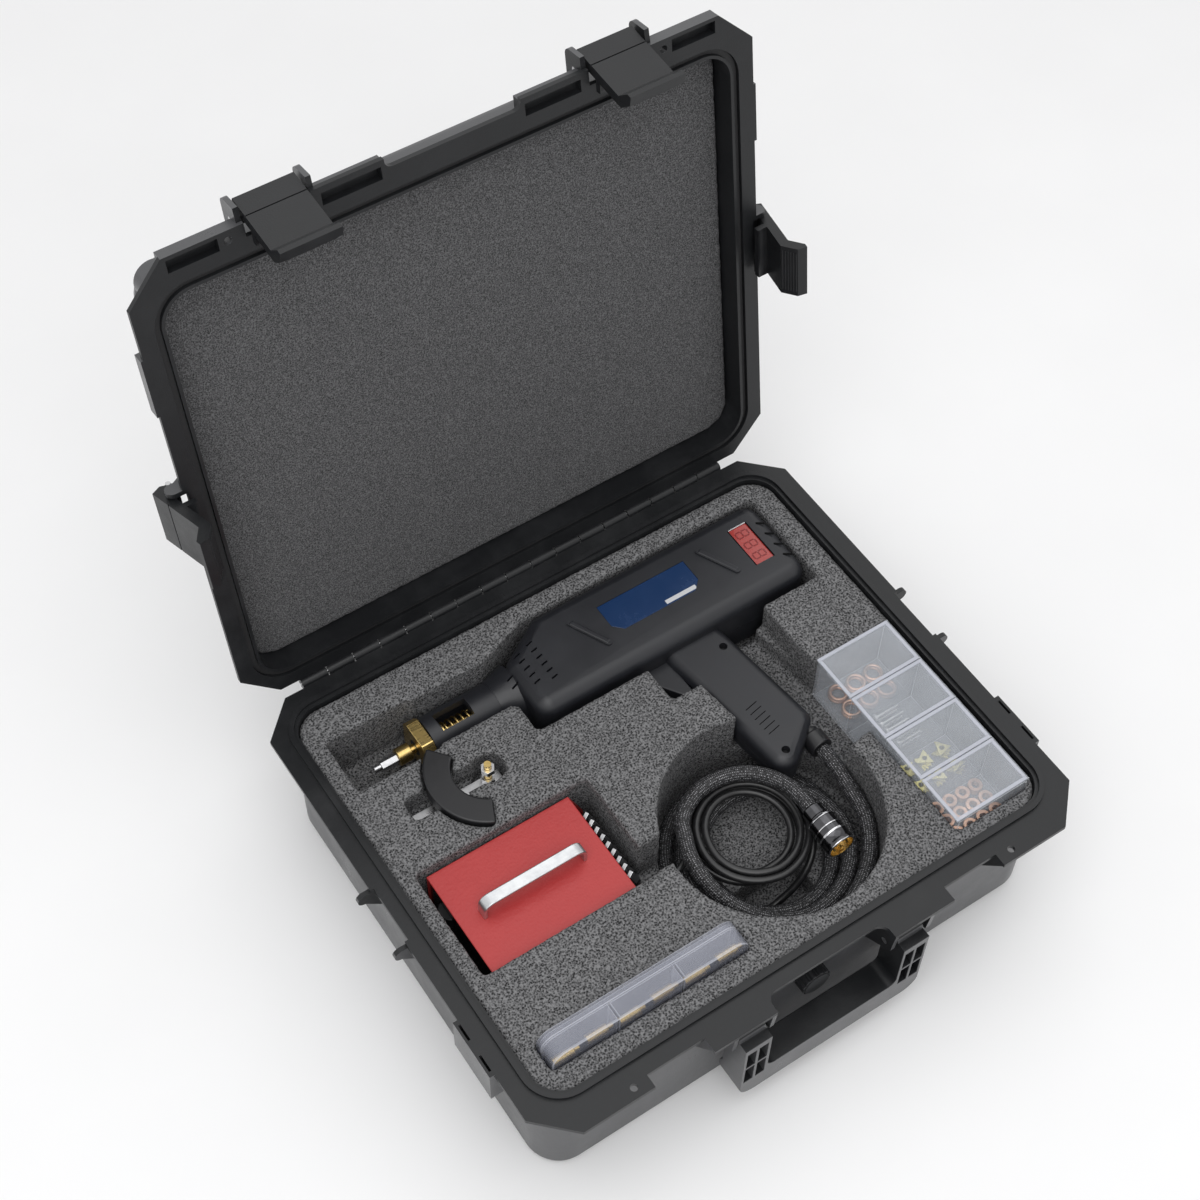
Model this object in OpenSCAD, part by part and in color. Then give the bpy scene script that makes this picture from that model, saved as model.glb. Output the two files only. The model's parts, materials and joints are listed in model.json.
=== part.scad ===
// Stud welding set in an open carrying case: gun, power unit, leads, earth foot and parts boxes.
// Millimetres, +Z up, origin on the floor under the middle of the rim, hinge side towards +Y.

/* [Case] */
// Width over the rim flange
case_w = 500; // [490:1:580]
// Depth over the rim flange
case_d = 428; // [424:1:500]
// Height of the base, floor to parting plane
base_h = 130; // [126:1:180]
// Height of the closed lid above the parting plane
lid_h = 45; // [42:1:80]
// Wall of the base and the lid
wall_t = 5; // [4:0.5:7]
// Floor of the base and top of the lid
floor_t = 4; // [3:0.5:6]
// Plate of the rim flange
flange_t = 4; // [3:0.5:5]
// Cut across the flange corners
corner_cut = 29.5; // [20:0.5:36]
// Inner corner radius of the tub
cavity_r = 24; // [16:1:32]
// Flange reach at the sides
side_reach = 20.5; // [20:0.5:24]
// Flange reach at the front
front_reach = 31.5; // [31:0.5:36]
// Flange reach at the hinge
back_reach = 19.5; // [18:0.5:24]
// Angle the lid stands open
lid_open = 98.874; // [90:0.001:110]

/* [Rim, latches and handle] */
// Height of the sealing tongue on the base rim
tongue_h = 3; // [2:0.5:4]
// Middle of each front latch from the centre line
latch_x = 135; // [130:1:150]
// Middle of the side latches
side_latch_y = 5; // [0:1:20]
// Width of a latch
latch_w = 46; // [36:1:50]
// Length of a latch below its pin
latch_len = 60; // [50:1:62]
// Lean of a latch's plate in the latched place, less than 0 where it leans in
latch_rest = -13; // [-16:1:12]
// Radius of the hinge knuckles
knuckle_r = 4.2; // [3.5:0.1:4.3]
// Width over the carry handle
handle_w = 170; // [168:1:171]
// Drop of the carry handle below its pins
handle_drop = 82; // [78:1:90]
// Height of the hand grip of the carry handle
handle_grip_h = 28; // [24:1:32]
// Radius of the pressure valve knob
valve_r = 13; // [10:0.5:15]

/* [Foam] */
// Foam top below the parting plane
foam_drop = 4; // [3:0.5:8]
// Space left in the lid above the parting plane
lid_space = 20; // [20:0.5:30]
// Room round each piece in the foam
foam_gap = 1.5; // [0.8:0.1:2]
// Radius of the round cord pocket
coil_pocket_r = 88; // [88:0.5:90]

/* [Gun] */
// Place of the barrel axis, right of the middle
gun_x = -62; // [-64:0.5:-60]
// Place of the barrel axis, behind the middle
gun_y = 137; // [136:0.5:138]
// Length of the gun body
gun_len = 268; // [255:1:270]
// Height of the gun body
gun_wide = 86; // [80:1:88]
// Thickness of the gun body
gun_thick = 68; // [64:1:70]
// Length of the slant at the upper front of the body
taper_len = 46; // [40:1:50]
// Diameter of the neck
neck_d = 40; // [38:0.5:42]
// Length of the neck
neck_len = 76; // [74:1:78]
// Thickness of the grip
grip_t = 34; // [30:1:36]
// Width of the grip
grip_w = 55; // [52:0.5:56]
// Length of the grip below the body
grip_len = 128; // [124:1:130]
// Lean of the grip
grip_lean = 6.8; // [6:0.1:8]
// Wall of the gun shells
shell_t = 2.6; // [2:0.1:3]
// Travel of the trigger
trigger_travel = 5; // [3:0.5:6]
// Travel of the welding nose
nose_travel = 4; // [3:0.5:6]
// Radius of the stud hole in the chuck
stud_r = 1.25; // [1:0.05:1.5]

/* [Power unit] */
// Length of the power unit
power_l = 128; // [120:1:130]
// Width of the power unit
power_w = 96; // [90:1:98]
// Height of the power unit
power_h = 88; // [80:1:92]
// Span of its carrying bow
bow_l = 92; // [80:1:100]

/* [Earth foot and boxes] */
// Outer radius of the earth pad
pad_ro = 50.5; // [48:0.5:54]
// Inner radius of the earth pad
pad_ri = 29; // [27:0.5:32]
// Width of the parts box
tray_w = 68; // [64:1:70]
// Length of one compartment
cell_l = 44.5; // [42:0.5:46]
// Height of the parts box
tray_h = 52; // [46:1:56]
// Length of the organiser
organiser_l = 172; // [160:1:174]
// Height of the organiser
organiser_h = 92; // [80:1:96]
// Thickness of the organiser
organiser_t = 22; // [20:0.5:23]

/* [Leads] */
// Diameter of the braided gun lead
lead_d = 13; // [11:0.1:13.2]
// Diameter of the mains lead
mains_d = 6.2; // [5:0.1:6.3]

/* [Hidden] */
$fn = 48;
// Overrun of every cut
over = 2;
// Clearance between pieces that do not move on each other
fit = 0.2;
// Clearance between pieces that move
free = 0.5;
// Running clearance of a pin in its hole
run = 0.05;
hw = case_w / 2;
hd = case_d / 2;
rim = base_h;
cav_w = case_w - 2 * side_reach;
cav_y0 = -hd + front_reach;
cav_y1 = hd - back_reach;
cav_d = cav_y1 - cav_y0;
cav_yc = (cav_y0 + cav_y1) / 2;
wall_x = cav_w / 2 + wall_t;
wall_y0 = cav_y0 - wall_t;
wall_y1 = cav_y1 + wall_t;
part_gap = 0.4;
hinge_out = 4.6;
hinge_y = hd + hinge_out;
hinge_pin_r = 1.5;
hinge_end = 16.5;
hinge_half = hw - corner_cut - hinge_end;
hinge_parts = 17;
knuckle_gap = 1.2;
hinge_step = 2 * hinge_half / hinge_parts;
// Rim outline
latch_gap = 2;
zone_in = latch_x - latch_w / 2 - latch_gap;
zone_out = latch_x + latch_w / 2 + latch_gap;
zone_deep = 11;
bracket_out = 2;
notch_x = 54;
notch_round = 9;
base_notch = 13;
lid_notch = 6;
side_notch = 3;
side_zone = latch_w / 2 + latch_gap;
padlock_x = 173;
padlock_in = 8;
padlock_r = 3;
tongue_in = 3;
tongue_t = 4;
ring_t = 11;
ring_h = 10;
seal_t = 3.8;
groove_h = 7;
rail_t = 3;
rail_deep = 21;
channel_w = 10;
channel_h = 7;
boss_out = 4;
ear_t = 4;
ear_out = 11;
ear_r = 6;
ear_drop = 40;
lid_ear_h = 24;
catch_y = -119;
catch_l = 50;
catch_h = 38;
catch_out = 4;
catch_slot = 14;
gusset_h = 44;
gusset_low = 22;
bottom_cut = 8;
// Latch
pin_r = 2;
latch_hub = 6;
latch_up = 14;
latch_in = 3;
latch_plate = 8;
nib_reach = 11;
nib_t = 5;
nib_top = -latch_up - flange_t - part_gap - free / 2;
lip_out = 10;
lip_h = 4;
lip_run = 14;
latch_top = 8;
seam_w = 1;
seam_z = 12;
// Handle
hpin_r = 3;
hpin_in = 8;
hpin_down = 22;
hpin_y = -hd + hpin_in;
hpin_z = rim - hpin_down;
hub_r = 8;
arm_w = 24;
arm_t = 18;
arm_rib = 2.6;
cell_w = (arm_w - 3 * arm_rib) / 2;
cell_h = 24;
cell_deep = 10;
grip_deep = 24;
grip_round = 10;
handle_round = 14;
inner_round = 8;
fin_gap = 3;
fin_in = handle_w / 2 - arm_w - fin_gap;
fin_out = handle_w / 2 + fin_gap;
valve_down = 47;
valve_z = rim - valve_down;
valve_deep = 10;
valve_stem = 6;
valve_ribs = 12;
// Foam
foam_low = floor_t + fit;
foam_top = rim - foam_drop;
foam_r = cavity_r - fit;
nose_pocket_l = 75;
nose_pocket_w = 52;
// Gun frame
gun_z = rim - gun_thick / 2;
body_drop = 4;
gun_room = 8;
body_y0 = -gun_wide / 2 - body_drop;
body_y1 = gun_wide / 2 - body_drop;
body_x1 = gun_len;
body_x0 = 4;
body_l = gun_len - taper_len;
front_y = 4;
front_room = 10;
slant_in = 6;
body_round = 14;
edge_top = 12;
edge_low = 20;
neck_r = neck_d / 2;
taper_more = 6;
taper_back = 14;
taper_r = neck_r + taper_more;
puck_shares = [[1, 0], [0.93, 0.25], [0.75, 0.56], [0.44, 0.83], [0, 1]];
grip_x = 153;
grip_down = 16;
grip_y = body_y0 - grip_down;
grip_r = 13;
grip_edge = 9;
grip_slant = 17;
lead_exit_x = 184;
lead_exit_r = 10;
boss_up = [168, -64];
boss_low = [152, -171];
boss_r = 5;
boss_hole = 3.5;
screw_r = 1.5;
window_x0 = 231;
window_l = 18.5;
window_y0 = -21.5;
window_w = 41;
lens_t = 2;
lens_down = 1;
label_x0 = 96;
label_l = 86;
label_y0 = -15;
label_w = 30;
label_t = 0.6;
label_cut = 8;
ridge_l = 42;
ridge_w = 6;
ridge_h = 1.6;
ridge_a = [71.3, 9, -64];
ridge_b = [200.4, 11, -64];
vent_counts = [2, 5, 6];
vent_l = 6.5;
vent_w = 1.6;
vent_x = 3;
vent_y = -3.5;
vent_dx = 14;
vent_dy = 7.6;
vent_turn = 12;
slit_l = 8;
slit_w = 1.4;
slit_step = 11;
// Trigger
trig_x = 101;
trig_l = 26;
trig_h = 46;
trig_t = 16;
trig_in = 6;
trig_y = body_y0 + trig_in;
trig_round = 5;
switch_up = 0.8;
// Nose
bore_r = 14;
win_x0 = -66;
win_l = 30;
win_w = 17;
block_t = 11;
block_w = 36;
block_cut = 6;
block_x = -neck_len - block_t - free;
rod_r = 4;
rod_bush_r = 7;
collar_r = 7.5;
collar_l = 12;
chuck_r = 5;
chuck_l = 15;
tip_r = 3;
tip_l = 6;
spring_r = 8;
spring_wire = 0.9;
spring_turns = 5;
spring_x0 = -60;
spring_l = 26;
spring_end = spring_x0 + spring_l + spring_wire + fit;
stop_t = 3;
// Power unit
power_edge = 23.5;
power_x0 = -cav_w / 2 + power_edge;
power_y0 = -72;
power_down = 15;
power_top = rim - power_down;
power_sheet = 1.5;
slope_in = 14;
slope_h = 34;
bow_w = 10;
bow_t = 3;
bow_h = 18;
bow_r = 9;
bow_y = -26;
bow_x = power_x0 + (power_l - bow_l) / 2;
louvre_n = 9;
louvre_w = 3;
louvre_l = 20;
louvre_step = 7.6;
louvre_in = 14;
rocker_w = 14;
rocker_h = 20;
rocker_t = 7;
rocker_y = 0;
rocker_down = 26;
rocker_z = power_top - rocker_down;
gland_r = 6;
gland_neck = 3.6;
core_l = 62;
core_w = 52;
core_h = 42;
// Earth foot
foot_edge = 110.5;
foot_x = -cav_w / 2 + foot_edge;
foot_y = 75;
pad_t = 14;
pad_down = 16;
pad_low = rim - pad_down;
pad_angle_from = 129;
pad_angle_to = 245;
bar_down = 24;
bar_z = rim - bar_down;
bar_t = 5;
bar_w = 9;
bar_left = 69;
bar_right = 11;
bar_x0 = foot_x - bar_left;
bar_x1 = foot_x + bar_right;
foot_stud_r = 3;
foot_stud_h = 36;
foot_nut_r = 6;
foot_nut_h = 5;
foot_nut_down = 10;
foot_nut_z = rim - foot_nut_down;
bolt_pocket_r = 13;
// Boxes
tray_edge = 8.5;
tray_front = 14.5;
tray_x0 = cav_w / 2 - tray_edge - tray_w;
tray_y0 = cav_y0 + tray_front;
tray_wall = 1.6;
tray_up = 4;
tray_top = rim + tray_up;
cells = 4;
lid_t = 1.6;
lid_pin_r = 1;
lid_barrel = 2.2;
organiser_edge = 17.5;
organiser_front = 21.5;
organiser_up = 9;
organiser_x0 = -cav_w / 2 + organiser_edge;
organiser_y0 = cav_y0 + organiser_front;
organiser_top = rim + organiser_up;
organiser_wall = 1.6;
organiser_round = 12;
// Small contents
ring_r = 7;
ring_wire = 1.5;
stud_shank_r = stud_r;
stud_head_r = 3.5;
stud_long = 24;
ring_step = 18;
ring_pile = 3.6;
stud_step = 7.4;
plate_r = 8;
plate_hole = 2;
plate_step = 17.8;
plate_pile = 2.3;
washer_step = 13;
plate_t = 2;
washer_r = 6;
washer_hole = 3;
washer_t = 2;
bit_r = 4;
bit_l = 26;
bit_down = 20;
// Shares
ledge_share = 0.6;
most_share = 0.7;
third_share = 0.31;
neck_share = 0.6;
board_share = 0.42;
coil_share = 0.7;
board_t = 2;
post_in = 4;
// Cord pocket
coil_x = 42;
coil_y = -79;
coil_deep = 81;
coil_floor = rim - coil_deep;
recess_run = 20;
// Route of the gun lead: turn angle clockwise from +X, radius, height under the rim
lead_turns = [[0, 80], [280, 80], [380, 66.2], [640, 66.2], [740, 52.4], [1000, 52.4], [1100, 66.2],
    [1320, 66.2]];
lead_rises = [[0, -41], [200, -74.1], [800, -74.1], [980, -60.3], [1180, -60.3], [1265, -33], [1320, -32.5]];
lead_step = 15;
lead_end = 1290;
lead_out = [[122, -42, -34], [122, -55, -34.3], [122, -67, -37]];
lead_in = [[-10.5, -35, -32.5], [0, -27, -32.2], [12.5, -21.5, -31.5], [26, -20, -30.5], [39.5, -21.8, -29.6],
    [51.8, -27, -28.7], [62.3, -35, -28], [70.7, -46, -27.4], [76, -58.5, -26.8], [78, -72, -26.5],
    [78, -84, -26.5]];
// Route of the mains lead: turn angle clockwise from +Y about its own middle
mains_x = 33.5;
mains_y = -64.5;
mains_turns = [[-60, 48], [180, 48], [280, 41], [540, 41], [640, 34], [900, 34], [1000, 41], [1260, 41],
    [1360, 48], [1545, 48]];
mains_rises = [[-60, -43.2], [720, -43.2], [880, -50], [1545, -50]];
mains_end = 1545;
mains_out = [[-44, -64, -47], [-37.5, -64, -47], [-29, -62, -46], [-20.5, -57, -44.6],
    [-13.5, -49.5, -43.4]];
mains_in = [[76, -93, -53], [69, -103, -59], [59, -109.5, -68], [47, -112, -79], [34, -112, -88],
    [22, -112, -92.3], [12, -112, -93], [3, -112, -93]];
lead_last = lead_in[len(lead_in) - 1];
plug_x = lead_last[0];
plug_y0 = lead_last[1];
plug_z = rim + lead_last[2];
plug_r = 12.5;
plug_l = 40;
plug_back_r = 9;
plug_back_l = 12;
plug_pins = 5;
plug_pin_r = 1.1;
mains_last = mains_in[len(mains_in) - 1];
mplug_x = mains_last[0];
mplug_y = mains_last[1];
mplug_z = rim + mains_last[2];
mplug_l = 28;
mplug_w = 42;
mplug_h = 23;
mplug_room = 2;
recess_floor = mplug_z - mplug_h / 2 - mplug_room;
mplug_neck = 9;
mplug_neck_r = 5.5;
gland_y = mains_out[0][1];
gland_z = rim + mains_out[0][2];
pin_l = 14;
pin_w = 6.3;
pin_h = 4;
case_col = [0.12, 0.12, 0.13];
foam_col = [0.22, 0.22, 0.23];
gun_col = [0.1, 0.1, 0.11];
steel_col = [0.75, 0.75, 0.77];
brass_col = [0.75, 0.6, 0.3];
red_col = [0.7, 0.13, 0.13];
clear_col = [0.85, 0.88, 0.92, 0.6];
copper_col = [0.7, 0.4, 0.25];

// Helpers
module rrect(w, d, r) {
    square([w - 2 * r, d], center = true);
    square([w, d - 2 * r], center = true);
    for (sx = [-1, 1], sy = [-1, 1])
        translate([sx * (w / 2 - r), sy * (d / 2 - r)]) circle(r);
}
module obround(l, w) {
    square([l - w, w], center = true);
    for (s = [-1, 1]) translate([s * (l - w) / 2, 0]) circle(w / 2);
}
module along_y(y0, t) translate([0, y0 + t, 0]) rotate([90, 0, 0]) linear_extrude(t) children();
module along_x(x0, t) translate([x0, 0, 0]) rotate([90, 0, 90]) linear_extrude(t) children();
module rod_x(x0, l, r) translate([x0, 0, 0]) rotate([0, 90, 0]) cylinder(r = r, h = l);
module in_lid() translate([0, hinge_y, rim]) rotate([-lid_open, 0, 0])
    translate([0, -hinge_y, -rim]) children();
module cav(grow, h) translate([0, cav_yc, 0]) linear_extrude(h)
    rrect(cav_w + 2 * grow, cav_d + 2 * grow, cavity_r + grow);
function rim_outline(deep) = [
    [-hw + corner_cut, -hd], [-zone_out, -hd], [-zone_out, -hd + zone_deep], [-zone_in, -hd + zone_deep],
    [-zone_in, -hd - bracket_out], [-notch_x, -hd - bracket_out], [-notch_x, -hd + deep],
    [notch_x, -hd + deep], [notch_x, -hd - bracket_out], [zone_in, -hd - bracket_out],
    [zone_in, -hd + zone_deep], [zone_out, -hd + zone_deep], [zone_out, -hd], [hw - corner_cut, -hd],
    [hw, -hd + corner_cut], [hw, side_latch_y - side_zone], [hw - side_notch, side_latch_y - side_zone],
    [hw - side_notch, side_latch_y + side_zone], [hw, side_latch_y + side_zone], [hw, hd - corner_cut],
    [hw - corner_cut, hd], [-hw + corner_cut, hd], [-hw, hd - corner_cut],
    [-hw, side_latch_y + side_zone], [-hw + side_notch, side_latch_y + side_zone],
    [-hw + side_notch, side_latch_y - side_zone], [-hw, side_latch_y - side_zone], [-hw, -hd + corner_cut]];
module rim_plate(deep) {
    turn = min(notch_round, deep);
    polygon(rim_outline(deep));
    for (s = [0, 1]) mirror([s, 0]) difference() {
        translate([-notch_x, -hd + deep - turn]) square(turn);
        translate([-notch_x + turn, -hd + deep - turn]) circle(turn);
    }
}
module ear_shape(x0, up, drop) {
    nose = hw + ear_out - ear_r;
    polygon([[x0, up], [nose, up], [nose + ear_r, up - ear_r], [x0, drop]]);
    translate([nose, up - ear_r]) circle(ear_r);
}
module front_ear_shape(y0, up, low) {
    nose = hd + ear_out - ear_r;
    translate([-nose, up - ear_r]) circle(ear_r);
    polygon([[-y0, up], [-nose, up], [-nose - ear_r, up - ear_r],
        [-nose - ear_r, low + flange_t], [-y0, low]]);
}
module knuckle(i, grow) {
    translate([-hinge_half + i * hinge_step + knuckle_gap / 2, hinge_y, rim])
        rotate([0, 90, 0]) cylinder(r = knuckle_r + grow, h = hinge_step - knuckle_gap);
}
// Tube through a list of points, with square ends
function unit(v) = v / norm(v);
function heading(p, i) = unit(p[min(i + 1, len(p) - 1)] - p[max(i - 1, 0)]);
function side_of(t) = unit(cross(t, [0, 0, 1]));
function ring_of(p, i, r, n) = let (t = heading(p, i), s = side_of(t), u = cross(s, t))
    [for (k = [0:n - 1]) p[i] + r * (cos(360 * k / n) * s + sin(360 * k / n) * u)];
module tube(p, r, n) {
    m = len(p);
    pts = [for (i = [0:m - 1]) each ring_of(p, i, r, n)];
    sides = [for (i = [0:m - 2], k = [0:n - 1]) each [
        [i * n + k, i * n + (k + 1) % n, (i + 1) * n + (k + 1) % n],
        [i * n + k, (i + 1) * n + (k + 1) % n, (i + 1) * n + k]]];
    ends = [[for (k = [0:n - 1]) n - 1 - k], [for (k = [0:n - 1]) (m - 1) * n + k]];
    polyhedron(points = pts, faces = concat(sides, ends), convexity = 10);
}
function drop_z(p) = [p[0], p[1], rim + p[2]];
function lead_path() = concat(
    [for (p = lead_out) drop_z(p)],
    [for (t = [lead_step:lead_step:lead_end]) [coil_x + lookup(t, lead_turns) * cos(t),
        coil_y - lookup(t, lead_turns) * sin(t), rim + lookup(t, lead_rises)]],
    [for (p = lead_in) drop_z(p)]);
function mains_path() = concat(
    [for (p = mains_out) drop_z(p)],
    [for (t = [mains_turns[0][0]:lead_step:mains_end]) [mains_x + lookup(t, mains_turns) * sin(t),
        mains_y + lookup(t, mains_turns) * cos(t), rim + lookup(t, mains_rises)]],
    [for (p = mains_in) drop_z(p)]);
function least_gap(p, d, apart) = min([for (i = [0:len(p) - 1], j = [i + apart:1:len(p) - 1])
    norm(p[i] - p[j])]) - d;
function path_length(p) = [for (i = 0, s = 0; i < len(p) - 1; s = s + norm(p[i + 1] - p[i]), i = i + 1) s][
    len(p) - 2];
echo(gun_lead_least_gap = least_gap(lead_path(), lead_d, 10));
echo(gun_lead_length = path_length(lead_path()));
echo(mains_lead_least_gap = least_gap(mains_path(), mains_d, 10));
echo(mains_lead_length = path_length(mains_path()));

// Case base
module base_ears() {
    for (s = [0, 1]) mirror([s, 0, 0]) {
        for (y = [side_latch_y - side_zone - ear_t, side_latch_y + side_zone])
            along_y(y, ear_t) ear_shape(wall_x - over, rim - flange_t, rim - ear_drop);
        difference() {
            translate([wall_x - over, catch_y - catch_l / 2, rim - catch_h])
                cube([hw + catch_out - wall_x + over, catch_l, catch_h]);
            for (k = [-1, 1])
                translate([hw - over, catch_y + k * catch_slot - catch_slot / 2, rim - catch_slot])
                    cube([over + catch_out / 2, catch_slot, catch_slot + over]);
        }
        for (x = [zone_in - ear_t, zone_out])
            along_x(x, ear_t) front_gusset(gusset_h);
        for (x = [fin_in - ear_t, fin_out])
            along_x(x, ear_t) handle_fin();
    }
}
module front_gusset(h) polygon([[wall_y0 + over, rim - flange_t / 2], [-hd, rim - flange_t / 2],
    [wall_y0 + over, rim - h]]);
module handle_fin() polygon([[wall_y0 + over, rim - flange_t / 2], [-hd - bracket_out, rim - flange_t / 2],
    [-hd, rim - gusset_low - flange_t], [wall_y0 + over, rim - gusset_h - flange_t]]);
module case_base() color(case_col) difference() {
    union() {
        translate([0, 0, bottom_cut]) cav(wall_t, rim - bottom_cut);
        hull() {
            translate([0, 0, bottom_cut]) cav(wall_t, part_gap);
            translate([0, 0, bottom_cut / 4]) cav(wall_t - bottom_cut / 4, part_gap);
            cav(wall_t - bottom_cut, part_gap);
        }
        translate([0, 0, rim - flange_t]) linear_extrude(flange_t) rim_plate(base_notch);
        translate([0, 0, rim - part_gap]) difference() {
            cav(tongue_in + tongue_t, tongue_h + part_gap);
            translate([0, 0, -over]) cav(tongue_in, tongue_h + 2 * over);
        }
        base_ears();
        for (i = [0:2:hinge_parts - 1]) {
            knuckle(i, 0);
            translate([-hinge_half + i * hinge_step + knuckle_gap / 2, hd - over, rim - flange_t])
                cube([hinge_step - knuckle_gap, over + hinge_out, flange_t]);
        }
    }
    translate([0, 0, floor_t]) cav(0, base_h + over);
    translate([0, hinge_y, rim]) rod_x(-hw, case_w, hinge_pin_r + run);
    for (s = [-1, 1]) translate([s * padlock_x, -hd + padlock_in, rim - flange_t - over])
        cylinder(r = padlock_r, h = flange_t + 2 * over);
    translate([0, hpin_y, hpin_z]) for (s = [0, 1]) mirror([s, 0, 0])
        rod_x(fin_in - ear_t - over, fin_out - fin_in + 2 * ear_t + 2 * over, hpin_r + run);
    translate([0, wall_y0 - over, valve_z]) rotate([-90, 0, 0])
        cylinder(r = valve_stem + run, h = wall_t + 2 * over);
}
module hinge_pin() color(steel_col) translate([0, hinge_y, rim])
    rod_x(-hinge_half, 2 * hinge_half, hinge_pin_r);
module handle_pins() color(steel_col) translate([0, hpin_y, hpin_z]) for (s = [0, 1]) mirror([s, 0, 0])
    rod_x(fin_in - ear_t, fin_out - fin_in + 2 * ear_t, hpin_r);
module pressure_valve() color(case_col) translate([0, wall_y0 - fit, valve_z]) rotate([90, 0, 0]) {
    difference() {
        cylinder(r = valve_r, h = valve_deep);
        for (k = [0:valve_ribs - 1]) rotate(360 * k / valve_ribs) translate([valve_r, 0, -over])
            cylinder(r = valve_deep / 6, h = valve_deep + 2 * over);
    }
    cylinder(r = valve_r - over, h = valve_deep + seam_w);
    translate([0, 0, -wall_t]) cylinder(r = valve_stem, h = wall_t + over);
}
module carry_handle() color(case_col) difference() {
    intersection() {
        along_y(hpin_y - grip_deep, 2 * grip_deep) difference() {
            union() {
                translate([0, hpin_z - (handle_drop - hub_r) / 2])
                    rrect(handle_w, handle_drop + hub_r, handle_round);
                for (s = [-1, 1]) translate([s * (handle_w - arm_w) / 2, hpin_z])
                    square([arm_w, 2 * hub_r], center = true);
            }
            translate([0, hpin_z - (handle_drop - handle_grip_h) / 2 + hub_r])
                rrect(handle_w - 2 * arm_w, handle_drop - handle_grip_h + 2 * hub_r, inner_round);
        }
        along_x(-handle_w / 2, handle_w) {
            translate([hpin_y, hpin_z]) circle(hub_r);
            translate([hpin_y - arm_t / 2 + seam_w, hpin_z - handle_drop / 2])
                square([arm_t - 2 * seam_w, handle_drop], center = true);
            translate([hpin_y, hpin_z - handle_drop / 2])
                square([2 * hub_r, handle_drop - grip_round], center = true);
            translate([hpin_y - seam_w, hpin_z - handle_drop + handle_grip_h / 2])
                rrect(grip_deep, handle_grip_h, grip_round);
        }
    }
    translate([0, hpin_y, hpin_z]) rod_x(-handle_w, 2 * handle_w, hpin_r + run);
    for (s = [-1, 1], i = [-1, 1], j = [0, 1])
        translate([s * (handle_w - arm_w) / 2 + i * (cell_w + arm_rib) / 2, hpin_y - arm_t,
            hpin_z - hub_r - j * (cell_h + arm_rib) - cell_h / 2])
                cube([cell_w, 2 * cell_deep, cell_h], center = true);
}
module base_foam() color(foam_col) difference() {
    translate([0, 0, foam_low]) cav(-fit, foam_top - foam_low);
    gun_pocket();
    translate([coil_x, coil_y, coil_floor]) cylinder(r = coil_pocket_r, h = base_h);
    translate([0, 0, recess_floor]) linear_extrude(base_h / 4)
        polygon([[mplug_x - mplug_neck - mplug_l - pin_l - over, mplug_y - mplug_w / 2 - foam_gap],
            [coil_x + recess_run, mplug_y - mplug_w / 2 - foam_gap],
            [coil_x + recess_run, mplug_y + mplug_w / 2 + foam_gap],
            [mplug_x - mplug_neck - mplug_l - pin_l - over, mplug_y + mplug_w / 2 + foam_gap]]);
    power_pocket();
    earth_pocket();
    translate([tray_x0 - foam_gap, tray_y0 - foam_gap, tray_top - tray_h - fit])
        cube([tray_w + 2 * foam_gap, cells * cell_l + 2 * foam_gap, base_h]);
    translate([organiser_x0 - foam_gap, organiser_y0 - foam_gap, organiser_top - organiser_h - fit])
        cube([organiser_l + 2 * foam_gap, organiser_t + 2 * foam_gap, base_h]);
}
module gun_pocket() translate([gun_x, gun_y, gun_z - gun_thick / 2 - fit]) {
    linear_extrude(base_h) polygon([[body_x0 - front_room, body_y0 - gun_room],
        [body_x1 + foam_gap, body_y0 - gun_room], [body_x1 + foam_gap, body_y1 + foam_gap],
        [taper_len - slant_in, body_y1 + foam_gap], [-taper_back, neck_r + foam_gap],
        [-taper_back, -neck_r - foam_gap], [body_x0 - front_room, -taper_r - foam_gap]]);
    translate([block_x, -neck_r - foam_gap - over, 0])
        cube([-block_x + over, 2 * neck_r + 2 * foam_gap + 2 * over, base_h]);
    translate([block_x - nose_pocket_l + block_t, -nose_pocket_w / 2, gun_thick / 8])
        cube([nose_pocket_l, nose_pocket_w, base_h]);
    translate([0, 0, (gun_thick - grip_t) / 2]) linear_extrude(base_h) {
        translate([grip_x, grip_y]) rotate(grip_lean)
            translate([-grip_w / 2 - foam_gap, -grip_len - grip_r])
                square([grip_w + 2 * foam_gap + 2 * grip_r, grip_len + grip_r + gun_wide / 2]);
        translate([trig_x - over, trig_y - trig_h - over]) square([grip_w, trig_h + gun_wide / 2]);
    }
    translate([grip_x + grip_w / 2, grip_y - grip_len / 2, gun_thick / 2])
        cube([grip_w * ledge_share, grip_len * ledge_share, base_h]);
}
module power_pocket() {
    translate([power_x0 - foam_gap - rocker_t, power_y0 - foam_gap, power_top - power_h - fit])
        cube([power_l + slope_in + 2 * foam_gap + rocker_t + over, power_w + 2 * foam_gap, base_h]);
    translate([power_x0 + power_l, gland_y - gland_r - foam_gap, gland_z - gland_r - foam_gap])
        cube([coil_x - coil_pocket_r / 2 - power_x0 - power_l, power_w / 4, base_h]);
}
module earth_pocket() {
    translate([bar_x0 - foam_gap, foot_y - bar_w - foam_gap, bar_z - bar_t - fit])
        cube([bar_x1 - bar_x0 + 2 * foam_gap, 2 * bar_w + 2 * foam_gap, base_h]);
    translate([foot_x, foot_y, rim - foot_stud_h - over]) cylinder(r = bolt_pocket_r, h = base_h);
    translate([foot_x, foot_y, pad_low - fit]) linear_extrude(base_h) difference() {
        intersection() {
            circle(pad_ro + foam_gap);
            pad_sector(pad_ro * 2);
        }
        circle(pad_ri - foam_gap);
    }
}
function pad_angle(k) = pad_angle_from + (pad_angle_to - pad_angle_from) * k / 8;
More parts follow.
